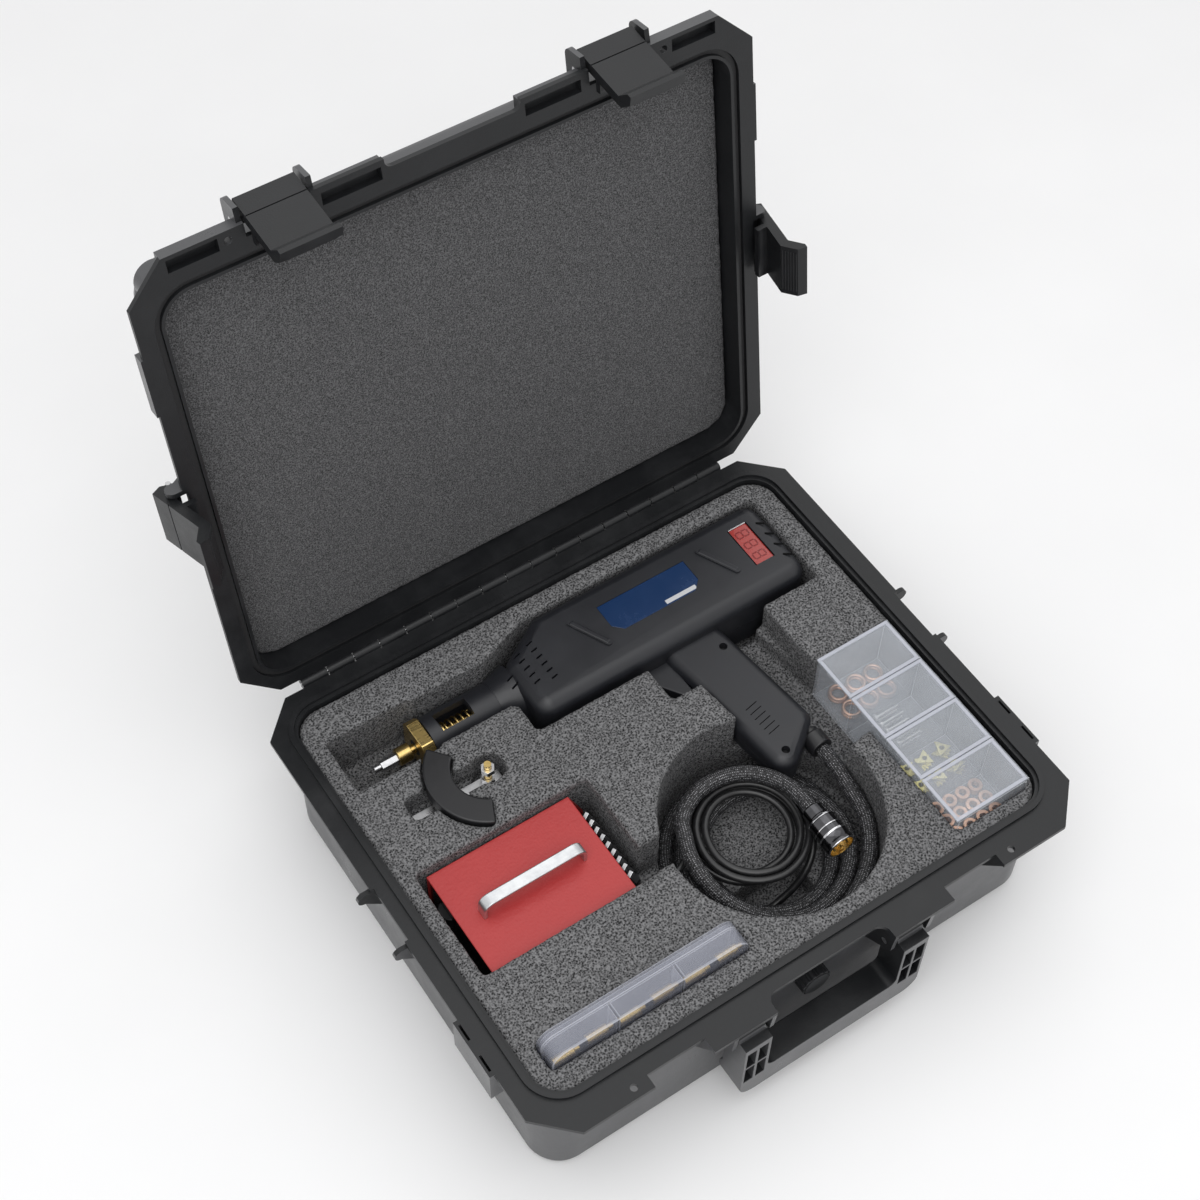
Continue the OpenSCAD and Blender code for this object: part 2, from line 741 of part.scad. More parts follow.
module pad_sector(r) polygon(concat([[0, 0]],
    [for (k = [0:8]) [r * cos(pad_angle(k)), r * sin(pad_angle(k))]]));

// Case lid
module lid_ears() {
    for (s = [0, 1]) mirror([s, 0, 0]) {
        for (y = [side_latch_y - side_zone - ear_t, side_latch_y + side_zone]) along_y(y, ear_t)
            translate([0, 2 * rim + lid_ear_h]) mirror([0, 1]) ear_flip();
        for (x = [zone_in - ear_t, zone_out]) along_x(x, ear_t)
            front_ear_shape(cav_d / 2 - cav_yc, rim + lid_ear_h, rim + part_gap);
        translate([wall_x - over, catch_y - catch_l / 2, rim + part_gap])
            cube([hw + catch_out / 2 - wall_x + over, catch_l, ring_h]);
        for (y = [hd - corner_cut, -hd + corner_cut])
            translate([hw - corner_cut, y, rim + part_gap]) cylinder(r = corner_cut / 2, h = lid_ear_h);
    }
}
module lid_rails() for (s = [0, 1]) mirror([s, 0, 0]) {
    translate([notch_x, -hd, rim + part_gap]) cube([zone_in - notch_x, rail_deep, ring_h]);
    translate([zone_out, -hd, rim + part_gap]) cube([hw - corner_cut - zone_out, rail_deep, ring_h]);
}
module lid_channels() for (s = [0, 1]) mirror([s, 0, 0]) {
    translate([notch_x + rail_t, -hd + rail_t, rim - over])
        cube([zone_in - ear_t - notch_x - 2 * rail_t, channel_w, channel_h + over]);
    translate([padlock_x + padlock_r + boss_out, -hd + rail_t, rim - over])
        cube([hw - corner_cut - padlock_x - padlock_r - boss_out - rail_t, channel_w, channel_h + over]);
}
module ear_flip() ear_shape(wall_x - over, rim + lid_ear_h - part_gap, rim);
module case_lid() color(case_col) in_lid() difference() {
    union() {
        translate([0, 0, rim + part_gap]) linear_extrude(flange_t) rim_plate(lid_notch);
        translate([0, 0, rim + part_gap]) cav(ring_t, ring_h);
        translate([0, 0, rim + part_gap]) cav(wall_t, lid_h - bottom_cut);
        hull() {
            translate([0, 0, rim + lid_h - bottom_cut]) cav(wall_t, part_gap);
            translate([0, 0, rim + lid_h - bottom_cut / 4]) cav(wall_t - bottom_cut / 4, part_gap);
            translate([0, 0, rim + lid_h - part_gap]) cav(wall_t - bottom_cut, part_gap);
        }
        lid_ears();
        lid_rails();
        for (i = [1:2:hinge_parts - 2]) {
            knuckle(i, 0);
            translate([-hinge_half + i * hinge_step + knuckle_gap / 2, hd - over, rim + part_gap])
                cube([hinge_step - knuckle_gap, over + hinge_out, flange_t - part_gap]);
        }
    }
    translate([0, 0, rim - over]) cav(0, lid_h - floor_t + over);
    translate([0, 0, rim - over]) difference() {
        cav(tongue_in + tongue_t + free, groove_h + part_gap + over);
        translate([0, 0, -over]) cav(tongue_in - free, groove_h + 3 * over);
    }
    translate([0, hinge_y, rim]) rod_x(-hw, case_w, hinge_pin_r + run);
    lid_channels();
    for (s = [-1, 1]) translate([s * padlock_x, -hd + padlock_in, rim - over])
        cylinder(r = padlock_r, h = ring_h + 2 * over);
    for (s = [0, 1]) mirror([s, 0, 0])
        translate([zone_in - ear_t - over, -hd + latch_in, rim + latch_up])
            rod_x(0, zone_out - zone_in + 2 * ear_t + 2 * over, pin_r + run);
    for (s = [-1, 1])
        translate([s * (hw - side_notch + latch_hub + over), side_latch_y - hd, rim + latch_up])
            rotate([-90, 0, 0]) cylinder(r = pin_r + run, h = case_d);
}
module lid_foam() color(foam_col) in_lid() translate([0, 0, rim + lid_space])
    cav(-fit, lid_h - floor_t - lid_space - fit);
module rim_seal() color([0.06, 0.06, 0.06]) in_lid()
    translate([0, 0, rim + groove_h + part_gap - seal_t - fit]) difference() {
        cav(tongue_in + tongue_t + free - fit, seal_t);
        translate([0, 0, -over]) cav(tongue_in - free + fit, seal_t + 2 * over);
    }
module latch_pins() color(steel_col) in_lid() {
    for (s = [0, 1]) mirror([s, 0, 0]) {
        translate([zone_in - ear_t, -hd + latch_in, rim + latch_up])
            rod_x(0, zone_out - zone_in + 2 * ear_t, pin_r);
        translate([hw - side_notch + latch_hub + over, side_latch_y - side_zone - ear_t, rim + latch_up])
            rotate([-90, 0, 0]) cylinder(r = pin_r, h = 2 * side_zone + 2 * ear_t);
    }
}
module latch_shape() difference() {
    union() {
        circle(latch_hub);
        rotate(latch_rest) polygon([[latch_in, latch_top], [latch_in + latch_plate, latch_top - over],
            [latch_in + latch_plate, -latch_len + lip_run],
            [latch_in + latch_plate + lip_out, -latch_len + lip_h],
            [latch_in + latch_plate + lip_out, -latch_len], [latch_in + lip_out, -latch_len],
            [latch_in, -latch_len + lip_run - lip_h], [latch_in, -latch_hub / 2], [0, -latch_hub],
            [0, latch_hub]]);
        translate([-nib_reach, nib_top - nib_t]) square([nib_reach + latch_in, nib_t]);
    }
    circle(pin_r + run);
    rotate(latch_rest) translate([latch_in + latch_plate, -seam_z])
        square([2 * seam_w, seam_w], center = true);
}
module latch_at(turn) rotate([0, 0, turn]) rotate([90, 0, 0])
    translate([0, 0, -latch_w / 2]) linear_extrude(latch_w) latch_shape();
module front_latch(s) color(case_col) in_lid()
    translate([s * latch_x, -hd + latch_in, rim + latch_up]) latch_at(-90);
module side_latch(s) color(case_col) in_lid()
    translate([s * (hw - side_notch + latch_hub + over), side_latch_y, rim + latch_up])
        latch_at(s > 0 ? 0 : 180);
module front_latch_left() front_latch(-1);
module front_latch_right() front_latch(1);
module side_latch_left() side_latch(-1);
module side_latch_right() side_latch(1);

// Gun
module at_gun() translate([gun_x, gun_y, gun_z]) children();
module puck(r, t, c) for (s = puck_shares)
    cylinder(r = r - c * (1 - s[0]), h = 2 * (t - c * (1 - s[1])), center = true, $fn = 24);
function edge_of(low) = low ? min(edge_low, body_round - over) : min(edge_top, body_round - over);
module body_corner(x, y, low, cut) translate([x, y, 0])
    puck(body_round - cut, gun_thick / 2 - cut, edge_of(low) - cut);
module body_hull(cut) hull() {
    for (y = [body_y0 + body_round, body_y1 - body_round]) body_corner(body_x1 - body_round, y, y < 0, cut);
    for (y = [body_y0 + body_round, front_y]) body_corner(body_x0 + body_round, y, y < 0, cut);
    body_corner(taper_len + slant_in, body_y1 - body_round, false, cut);
}
module taper_cone(cut) translate([-taper_back, 0, 0]) rotate([0, 90, 0])
    cylinder(r1 = neck_r + part_gap - 2 * cut, r2 = taper_r - 2 * cut, h = taper_back + body_x0 + over);
module grip_hull(cut) translate([grip_x, grip_y, 0]) rotate(grip_lean) hull() {
    for (p = [[-grip_w / 2 + grip_r, gun_wide / 3], [grip_w / 2 - grip_r, gun_wide / 3],
        [-grip_w / 2 + grip_r, -grip_len + grip_r + grip_edge],
        [grip_w / 2 - grip_r, -grip_len + grip_r + grip_slant + grip_edge]])
        translate(p) puck(grip_r - cut, grip_t / 2 - cut, grip_edge - cut);
}
module gun_outer() {
    body_hull(0);
    taper_cone(0);
    grip_hull(0);
    rod_x(-neck_len, neck_len + over, neck_r);
    for (r = [ridge_a, ridge_b])
        translate([r[0] + ridge_w, r[1] - 2 * ridge_w, gun_thick / 2 - over]) rotate(r[2])
            linear_extrude(over + ridge_h) obround(ridge_l, ridge_w);
}
module gun_inner() {
    difference() {
        union() {
            body_hull(shell_t);
            grip_hull(shell_t);
        }
        for (b = [boss_up, boss_low])
            translate([b[0], b[1], -gun_thick]) cylinder(r = boss_r, h = 2 * gun_thick);
    }
    rod_x(-neck_len - over, neck_len + over + spring_end, bore_r);
    rod_x(spring_end + stop_t, body_x0 + 2 * shell_t - spring_end - stop_t, bore_r);
    rod_x(-neck_len, neck_len + taper_len / 2, rod_r + free);
}
module gun_cuts() {
    translate([win_x0, -win_w / 2, 0]) cube([win_l, win_w, gun_thick]);
    translate([window_x0 - fit, window_y0 - fit, gun_thick / 2 - shell_t - over])
        cube([window_l + 2 * fit, window_w + 2 * fit, shell_t + 2 * over]);
    translate([0, 0, gun_thick / 2 - label_t - fit]) linear_extrude(over) label_shape(fit);
    for (i = [0:len(vent_counts) - 1], j = [0:vent_counts[i] - 1])
        translate([vent_x + i * vent_dx, vent_y + (j - (vent_counts[i] - 1) / 2) * vent_dy, gun_thick / 4])
            rotate(vent_turn) linear_extrude(gun_thick / 2) obround(vent_l, vent_w);
    for (k = [-1.5:1:1.5])
        translate([body_x1 - slit_l / 2, -body_drop + k * slit_step, gun_thick / 2 - body_round])
            cube([slit_l, slit_w, body_round + over]);
    for (b = [boss_up, boss_low]) translate([b[0], b[1], 0]) {
        translate([0, 0, grip_t / 4]) cylinder(r = boss_hole, h = gun_thick);
        translate([0, 0, -grip_t / 4]) cylinder(r = screw_r + fit, h = gun_thick);
    }
    translate([trig_x - over, trig_y - trig_h - over, -trig_t / 2 - free])
        cube([trig_l + trigger_travel + over + free, trig_h + over + free, trig_t + 2 * free]);
    translate([lead_exit_x, grip_y - grip_len - grip_r, 0]) rotate([-90, 0, 0])
        cylinder(r = lead_exit_r + fit, h = grip_len / 3 + grip_r);
}
module gun_half(up) intersection() {
    difference() {
        gun_outer();
        gun_inner();
        gun_cuts();
    }
    translate([-neck_len - over, -case_d / 2, up > 0 ? fit / 2 : -gun_thick])
        cube([case_w, case_d, gun_thick - fit / 2]);
}
module gun_shell_left() color(gun_col) at_gun() gun_half(1);
module gun_shell_right() color(gun_col) at_gun() gun_half(-1);
module label_shape(g) translate([label_x0, label_y0]) polygon([
    [-g, label_cut - g / 2], [label_cut - g / 2, -g],
    [label_l - label_cut + g / 2, -g], [label_l + g, label_cut - g / 2], [label_l + g, label_w + g],
    [-g, label_w + g]]);
module label_plate() color([0.05, 0.15, 0.4]) at_gun() translate([0, 0, gun_thick / 2 - label_t])
    linear_extrude(label_t) label_shape(0);
module display_lens() color([0.7, 0.1, 0.08]) at_gun()
    translate([window_x0, window_y0, gun_thick / 2 - lens_t - lens_down]) cube([window_l, window_w, lens_t]);
module display_module() color([0.1, 0.1, 0.1]) at_gun()
    translate([window_x0, window_y0, gun_thick / 2 - lens_t - lens_down - window_l / 2])
        cube([window_l, window_w, window_l / 2 - fit]);
module trigger() color(gun_col) at_gun() translate([trig_x, trig_y, -trig_t / 2]) linear_extrude(trig_t) {
    difference() {
        polygon([[0, -trig_round], [trig_round, 0], [trig_l, 0], [trig_l, -trig_h],
            [trig_l - trig_round, -trig_h], [trig_round, -trig_h / 2]]);
        translate([-trig_h / 4, -trig_h * most_share]) circle(trig_h * third_share);
    }
}
module trigger_switch() color([0.15, 0.15, 0.16]) at_gun()
    translate([trig_x + trig_l + trigger_travel + 2 * free, trig_y - trig_h / 2,
        -grip_t / 2 + shell_t + switch_up]) cube([trig_l * ledge_share, trig_h / 2, grip_t / 2 + trig_t / 4]);
module control_board() color([0.05, 0.3, 0.15]) at_gun() {
    translate([taper_len + body_l * board_share, body_y0 + edge_low, gun_thick / 8])
        cube([body_l * board_share, gun_wide - 2 * edge_low, board_t]);
    for (i = [0, 1], j = [0, 1]) translate([
        taper_len + body_l * board_share * (1 + i) + (1 - 2 * i) * post_in,
        body_y0 + edge_low + post_in + j * (gun_wide - 2 * edge_low - 2 * post_in),
        -gun_thick / 2 + shell_t + fit])
            cylinder(r = screw_r, h = gun_thick / 2 + gun_thick / 8 - shell_t);
}
module weld_transformer() color([0.3, 0.28, 0.26]) at_gun()
    translate([taper_len + edge_low, body_y0 + edge_low, -gun_thick / 2 + shell_t + fit]) {
        cube([core_l, gun_wide - 2 * edge_low, gun_thick / 3]);
        translate([core_l / 4, -over, gun_thick / 24])
            cube([core_l / 2, gun_wide - 2 * edge_low + 2 * over, gun_thick / 4]);
    }
module gun_screws() color(steel_col) at_gun() for (b = [boss_up, boss_low])
    translate([b[0], b[1], -grip_t / 4 + fit]) {
    cylinder(r = screw_r, h = grip_t / 2);
    translate([0, 0, grip_t / 2]) cylinder(r = boss_hole - fit, h = over);
}
module strain_relief() color(gun_col) difference() {
    translate([gun_x + lead_exit_x, lead_out[0][1] + fit, gun_z]) rotate([-90, 0, 0]) {
        cylinder(r = lead_exit_r, h = grip_w / 4);
        cylinder(r = lead_exit_r - over, h = grip_w / 3);
    }
}
function coil_points() = [for (t = [0:lead_step:360 * spring_turns]) [
    spring_x0 + spring_l * t / 360 / spring_turns, spring_r * cos(t), spring_r * sin(t)]];
function coil_ring(p, i, r, n) = let (t = heading(p, i), s = unit(cross(t, [1, 0, 0])), u = cross(s, t))
    [for (k = [0:n - 1]) p[i] + r * (cos(360 * k / n) * s + sin(360 * k / n) * u)];
module nose_spring() color(brass_col) at_gun() {
    p = coil_points();
    n = 6;
    m = len(p);
    polyhedron(points = [for (i = [0:m - 1]) each coil_ring(p, i, spring_wire, n)],
        faces = concat([for (i = [0:m - 2], k = [0:n - 1]) each [
            [i * n + k, i * n + (k + 1) % n, (i + 1) * n + (k + 1) % n],
            [i * n + k, (i + 1) * n + (k + 1) % n, (i + 1) * n + k]]],
            [[for (k = [0:n - 1]) n - 1 - k], [for (k = [0:n - 1]) (m - 1) * n + k]]), convexity = 10);
}
module earth_block() color(brass_col) at_gun() difference() {
    along_x(block_x, block_t) difference() {
        intersection() {
            square(block_w, center = true);
            rotate(45) square(block_w * sqrt(2) - block_cut * sqrt(2), center = true);
        }
        circle(rod_bush_r);
    }
}
module rod_bush() color([0.1, 0.1, 0.1]) at_gun() difference() {
    union() {
        rod_x(block_x + fit, block_t, rod_bush_r - fit);
        rod_x(block_x + block_t + free, -block_x - block_t + spring_x0 - spring_r / 2, bore_r - fit);
    }
    rod_x(block_x - over, neck_len, rod_r + run);
}
module electrode_rod() color(brass_col) at_gun() {
    rod_x(block_x - nose_travel - free, neck_len + block_t + nose_travel, rod_r);
    rod_x(spring_x0 - spring_wire - fit - over, over, spring_r + spring_wire);
}
module nose_collar() color(brass_col) at_gun() difference() {
    rod_x(block_x - nose_travel - free - collar_l, collar_l - fit, collar_r);
    rod_x(block_x - nose_travel - free - collar_l - over, collar_l + 2 * over, chuck_r * neck_share);
}
module stud_chuck() color(steel_col) at_gun() difference() {
    union() {
        rod_x(block_x - nose_travel - free - collar_l - chuck_l, chuck_l - fit, chuck_r, $fn = 6);
        rod_x(block_x - nose_travel - free - collar_l - chuck_l - tip_l, tip_l + over, tip_r);
        rod_x(block_x - nose_travel - free - collar_l - over, collar_l, chuck_r * neck_share - fit);
    }
    rod_x(block_x - nose_travel - free - collar_l - chuck_l - tip_l - over, chuck_l + over, stud_r);
}

// Leads
module gun_lead() color([0.07, 0.07, 0.07]) tube(lead_path(), lead_d / 2, 6);
module mains_lead() color([0.05, 0.05, 0.05]) tube(mains_path(), mains_d / 2, 6);
module plug_shell() color(steel_col) translate([plug_x, plug_y0 - fit / 2, plug_z]) rotate([90, 0, 0])
    difference() {
    union() {
        cylinder(r = plug_back_r, h = plug_back_l + over);
        translate([0, 0, plug_back_l]) cylinder(r = plug_r, h = plug_l - plug_back_l);
    }
    translate([0, 0, plug_l - plug_back_l]) cylinder(r = plug_r - over, h = plug_l);
}
module plug_insert() color([0.08, 0.08, 0.08])
    translate([plug_x, plug_y0 - plug_l + plug_back_l - fit, plug_z]) rotate([90, 0, 0])
        cylinder(r = plug_r - over - fit, h = plug_back_l / 2);
module plug_pins() color(brass_col)
    translate([plug_x, plug_y0 - plug_l + plug_back_l / 2 - fit * 2, plug_z]) rotate([90, 0, 0])
        for (k = [0:plug_pins - 1]) rotate(360 * k / plug_pins)
            translate([plug_r / 2, 0, 0]) cylinder(r = plug_pin_r, h = plug_back_l / 3);
module mains_plug() color([0.06, 0.06, 0.06]) translate([mplug_x - fit, mplug_y, mplug_z]) {
    rod_x(-mplug_neck, mplug_neck, mplug_neck_r);
    translate([-mplug_neck - mplug_l, -mplug_w / 2, -mplug_h / 2])
        cube([mplug_l + part_gap, mplug_w, mplug_h]);
}
module mains_pins() color(brass_col)
    translate([mplug_x - 2 * fit - mplug_neck - mplug_l - pin_l, mplug_y, mplug_z])
    for (k = [-1, 0, 1]) translate([0, k * mplug_w / 3 - pin_w / 2, -pin_h / 2]) cube([pin_l, pin_w, pin_h]);

// Power unit
power_end = power_x0 + power_l + slope_in;
function power_side() = [[power_x0, power_top - power_h], [power_end, power_top - power_h],
    [power_end, power_top - slope_h], [power_x0 + power_l, power_top], [power_x0, power_top]];
module power_cover() color(red_col) difference() {
    along_y(power_y0, power_w) polygon(power_side());
    along_y(power_y0 + power_sheet, power_w - 2 * power_sheet) polygon([
        [power_x0 - over, power_top - power_h - over],
        [power_x0 + power_l + slope_in + over, power_top - power_h - over],
        [power_x0 + power_l + slope_in + over, power_top - power_sheet],
        [power_x0 - over, power_top - power_sheet]]);
}
module power_chassis() color([0.08, 0.08, 0.08]) difference() {
    along_y(power_y0 + power_sheet + fit, power_w - 2 * power_sheet - 2 * fit) polygon([
        [power_x0 + over, power_top - power_h], [power_x0 + power_l + slope_in - over, power_top - power_h],
        [power_x0 + power_l + slope_in - over, power_top - slope_h],
        [power_x0 + power_l - over, power_top - power_sheet - fit],
        [power_x0 + over, power_top - power_sheet - fit]]);
    along_y(power_y0 + 2 * power_sheet, power_w - 4 * power_sheet) polygon([
        [power_x0 + 2 * over, power_top - power_h + over],
        [power_x0 + power_l + slope_in - 2 * over, power_top - power_h + over],
        [power_x0 + power_l + slope_in - 2 * over, power_top - slope_h],
        [power_x0 + power_l - 2 * over, power_top - 2 * over], [power_x0 + 2 * over, power_top - 2 * over]]);
    translate([power_x0 + over - seam_w, rocker_y - rocker_h / 2 - free, rocker_z - rocker_w / 2 - free])
        cube([2 * over, rocker_h + 2 * free, rocker_w + 2 * free]);
    translate([power_x0 + power_l + slope_in - over - 3 * over, gland_y, gland_z])
        rod_x(0, 6 * over, gland_r * neck_share + fit);
    for (k = [0:louvre_n - 1]) translate([power_x0 + power_l - 3 * over,
        power_y0 + louvre_in + k * louvre_step, power_top - slope_h + over])
            cube([slope_in + 3 * over, louvre_w, louvre_l]);
}
module power_bow() color([0.8, 0.81, 0.82]) translate([bow_x, bow_y - bow_w / 2, power_top + fit]) {
    along_y(0, bow_w) difference() {
        union() {
            translate([bow_l / 2, 0]) intersection() {
                rrect(bow_l, 2 * bow_h, bow_r);
                translate([-bow_l, 0]) square([2 * bow_l, bow_h]);
            }
        }
        translate([bow_l / 2, 0]) rrect(bow_l - 2 * bow_t, 2 * bow_h - 2 * bow_t, bow_r - bow_t);
    }
}
module power_rocker() color([0.1, 0.1, 0.1]) translate([power_x0 + 2 * over, rocker_y, rocker_z])
    intersection() {
        translate([rocker_t / 3, -rocker_h / 2, 0]) along_xz();
        translate([-rocker_t, -rocker_h / 2, -rocker_w / 2]) cube([2 * rocker_t, rocker_h, rocker_w]);
    }
module along_xz() translate([0, rocker_h / 2, -rocker_w / 2]) linear_extrude(rocker_w)
    difference() {
        circle(rocker_h / 2);
        translate([rocker_t / 4, -rocker_h]) square([rocker_h, 2 * rocker_h]);
    }
module power_transformer() color([0.35, 0.3, 0.25])
    translate([power_x0 + power_l / 2 - core_l / 2, power_y0 + power_w / 2 - core_w / 2,
        power_top - power_h + over + fit]) {
        cube([core_l, core_w, core_h]);
        translate([core_l / 4, -over, core_h / 8]) cube([core_l / 2, core_w + 2 * over, core_h * coil_share]);
    }
module cord_gland() color([0.08, 0.08, 0.08])
    translate([power_x0 + power_l + slope_in - over + fit, gland_y, gland_z]) {
        rotate([0, 90, 0]) cylinder(r1 = gland_r, r2 = gland_neck,
            h = mains_out[0][0] - 2 * fit - power_x0 - power_l - slope_in + over);
        rod_x(-over - fit, over + fit + part_gap, gland_r * neck_share);
    }

// Earth foot
module earth_pad() color([0.1, 0.1, 0.1]) translate([foot_x, foot_y, pad_low]) linear_extrude(pad_t)
    difference() {
    intersection() {
        circle(pad_ro, $fn = 96);
        pad_sector(pad_ro * 2);
    }
    circle(pad_ri, $fn = 96);
}
module earth_bar() color([0.8, 0.8, 0.82]) difference() {
    translate([bar_x0, foot_y - bar_w / 2, bar_z - bar_t]) cube([bar_x1 - bar_x0, bar_w, bar_t]);
    translate([foot_x, foot_y, bar_z - 2 * bar_t]) cylinder(r = foot_stud_r + run, h = 3 * bar_t);
}
module earth_stud() color(brass_col) translate([foot_x, foot_y, 0]) {
    translate([0, 0, rim - foot_stud_h]) cylinder(r = foot_stud_r, h = foot_stud_h);
}
module earth_nuts() color(steel_col) translate([foot_x, foot_y, 0]) for (z = [bar_z + fit, foot_nut_z])
    translate([0, 0, z]) difference() {
        cylinder(r = foot_nut_r, h = foot_nut_h, $fn = 6);
        translate([0, 0, -over]) cylinder(r = foot_stud_r + run, h = foot_nut_h + 2 * over);
    }

// Parts box and organiser
module parts_tray() color(clear_col) difference() {
    translate([tray_x0, tray_y0, tray_top - tray_h]) cube([tray_w, cells * cell_l, tray_h]);
    for (k = [0:cells - 1]) translate([tray_x0 + tray_wall, tray_y0 + k * cell_l + tray_wall,
        tray_top - tray_h + tray_wall]) cube([tray_w - 2 * tray_wall, cell_l - 2 * tray_wall, tray_h]);
    translate([tray_x0 + tray_w, tray_y0 - over, tray_top]) rotate([-90, 0, 0])
        cylinder(r = lid_barrel + free, h = cells * cell_l + 2 * over);
}
module tray_lid(k) color(clear_col) translate([tray_x0, tray_y0 + k * cell_l + free, tray_top + free]) {
    translate([-over, 0, 0]) cube([tray_w + over, cell_l - 2 * free, lid_t]);
    translate([-over, cell_l / 3, -over]) cube([lid_t, cell_l / 3, over + part_gap]);
    translate([tray_w, 0, 0]) rotate([-90, 0, 0]) cylinder(r = lid_barrel - free, h = cell_l - 2 * free);
}
module tray_lid_1() tray_lid(0);
module tray_lid_2() tray_lid(1);
module tray_lid_3() tray_lid(2);
module tray_lid_4() tray_lid(3);
module cell_place(k) translate([tray_x0 + tray_w / 2, tray_y0 + (k + 0.5) * cell_l,
    tray_top - tray_h + tray_wall + fit]) children();
module copper_rings() color(copper_col) cell_place(3) for (i = [-1, 0, 1], j = [-0.5, 0.5], h = [0, 1])
    translate([i * ring_step, j * ring_step, ring_wire + h * ring_pile]) rotate_extrude()
        translate([ring_r, 0]) circle(ring_wire, $fn = 16);
module weld_studs() color(steel_col) cell_place(2) for (i = [-2:2], h = [0, 1])
    translate([-stud_long / 2, i * stud_step, stud_head_r + h * stud_step]) {
        rod_x(0, stud_long, stud_shank_r);
        rod_x(0, plate_t, stud_head_r);
    }
module pull_plates() color(brass_col) cell_place(1) for (i = [-1, 0, 1], j = [-0.5, 0.5], h = [0:3])
    translate([i * plate_step, j * plate_step, h * plate_pile]) rotate(20 * h + 40 * i)
        linear_extrude(plate_t) difference() {
            circle(plate_r, $fn = 3);
            circle(plate_hole);
        }
module washers() color(copper_col) cell_place(0) for (i = [-1.5:1:1.5], j = [-1:1], h = [0:2])
    translate([i * washer_step, j * washer_step, h * plate_pile]) difference() {
        cylinder(r = washer_r, h = washer_t);
        translate([0, 0, -over]) cylinder(r = washer_hole, h = washer_t + 2 * over);
    }
module organiser_shape(g) translate([organiser_l / 2, organiser_h / 2])
    rrect(organiser_l - 2 * g, organiser_h - 2 * g, organiser_round - g);
module organiser_body() color(clear_col)
    translate([organiser_x0, organiser_y0, organiser_top - organiser_h]) difference() {
    along_y(0, organiser_t * most_share) organiser_shape(0);
    for (k = [0:2]) along_y(organiser_wall, organiser_t) intersection() {
        organiser_shape(organiser_wall);
        translate([organiser_wall + k * (organiser_l - organiser_wall) / 3, 0])
            square([(organiser_l - organiser_wall) / 3 - organiser_wall, organiser_h]);
    }
}
organiser_lid_t = organiser_t * (1 - most_share) - fit;
module organiser_lid() color(clear_col) translate([organiser_x0,
    organiser_y0 + organiser_t * most_share + fit, organiser_top - organiser_h]) difference() {
    along_y(0, organiser_lid_t) organiser_shape(0);
    along_y(-over, organiser_lid_t - organiser_wall + over) organiser_shape(organiser_wall);
}
module brass_bits() color(brass_col)
    translate([organiser_x0, organiser_y0 + organiser_wall + bit_r + fit, organiser_top - bit_down])
    for (k = [0:5])
        translate([organiser_l / 12 + k * organiser_l / 6 - bit_l / 2 + over, 0, (k % 2) * bit_r]) {
        rod_x(0, bit_l * most_share, bit_r);
        rod_x(bit_l * most_share - part_gap, bit_l / 5, bit_r * neck_share);
    }

case_base();
hinge_pin();
handle_pins();
pressure_valve();
carry_handle();
base_foam();
case_lid();
lid_foam();
rim_seal();
latch_pins();
front_latch_left();
front_latch_right();
side_latch_left();
side_latch_right();
gun_shell_left();
gun_shell_right();
label_plate();
display_lens();
display_module();
trigger();
trigger_switch();
control_board();
weld_transformer();
gun_screws();
strain_relief();
nose_spring();
earth_block();
rod_bush();
electrode_rod();
nose_collar();
stud_chuck();
gun_lead();
mains_lead();
plug_shell();
plug_insert();
plug_pins();
mains_plug();
mains_pins();
power_cover();
power_chassis();
power_bow();
power_rocker();
power_transformer();
cord_gland();
earth_pad();
earth_bar();
earth_stud();
earth_nuts();
parts_tray();
tray_lid_1();
tray_lid_2();
tray_lid_3();
tray_lid_4();
copper_rings();
weld_studs();
pull_plates();
washers();
organiser_body();
organiser_lid();
brass_bits();
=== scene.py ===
import json
import math

import bmesh
import bpy
from mathutils import Matrix, Vector, noise


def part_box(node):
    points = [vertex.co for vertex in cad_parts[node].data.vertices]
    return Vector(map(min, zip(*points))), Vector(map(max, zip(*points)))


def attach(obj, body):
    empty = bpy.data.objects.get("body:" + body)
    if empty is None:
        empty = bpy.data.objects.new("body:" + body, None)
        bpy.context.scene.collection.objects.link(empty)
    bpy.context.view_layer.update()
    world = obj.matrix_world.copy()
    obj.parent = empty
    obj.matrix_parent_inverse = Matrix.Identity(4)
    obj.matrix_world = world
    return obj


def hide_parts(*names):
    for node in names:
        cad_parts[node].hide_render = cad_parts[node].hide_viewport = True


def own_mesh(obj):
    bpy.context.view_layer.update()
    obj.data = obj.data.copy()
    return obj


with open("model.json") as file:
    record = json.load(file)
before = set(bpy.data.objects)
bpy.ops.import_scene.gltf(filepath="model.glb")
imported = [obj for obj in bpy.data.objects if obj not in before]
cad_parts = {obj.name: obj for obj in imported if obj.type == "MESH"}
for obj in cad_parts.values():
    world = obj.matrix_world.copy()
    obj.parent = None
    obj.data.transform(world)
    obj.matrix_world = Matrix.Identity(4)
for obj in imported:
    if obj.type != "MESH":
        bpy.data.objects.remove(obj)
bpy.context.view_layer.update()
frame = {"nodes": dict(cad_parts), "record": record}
nodes = frame["nodes"]
scene = bpy.context.scene
scene.view_settings.view_transform = "Standard"
rimHeight = 0.130
perMetre = 1000
print("frame loaded:", len(nodes), "nodes")

# camera fitted to the rim of the case
cameraView = {"focalPixels": 2122.843, "imagePixels": 1200, "sensor": 36, "clipStart": 0.05,
              "azimuth": -34.921, "elevation": 54.692, "roll": 1.422, "across": -0.053319,
              "upward": 0.125202, "distance": 1.649015}


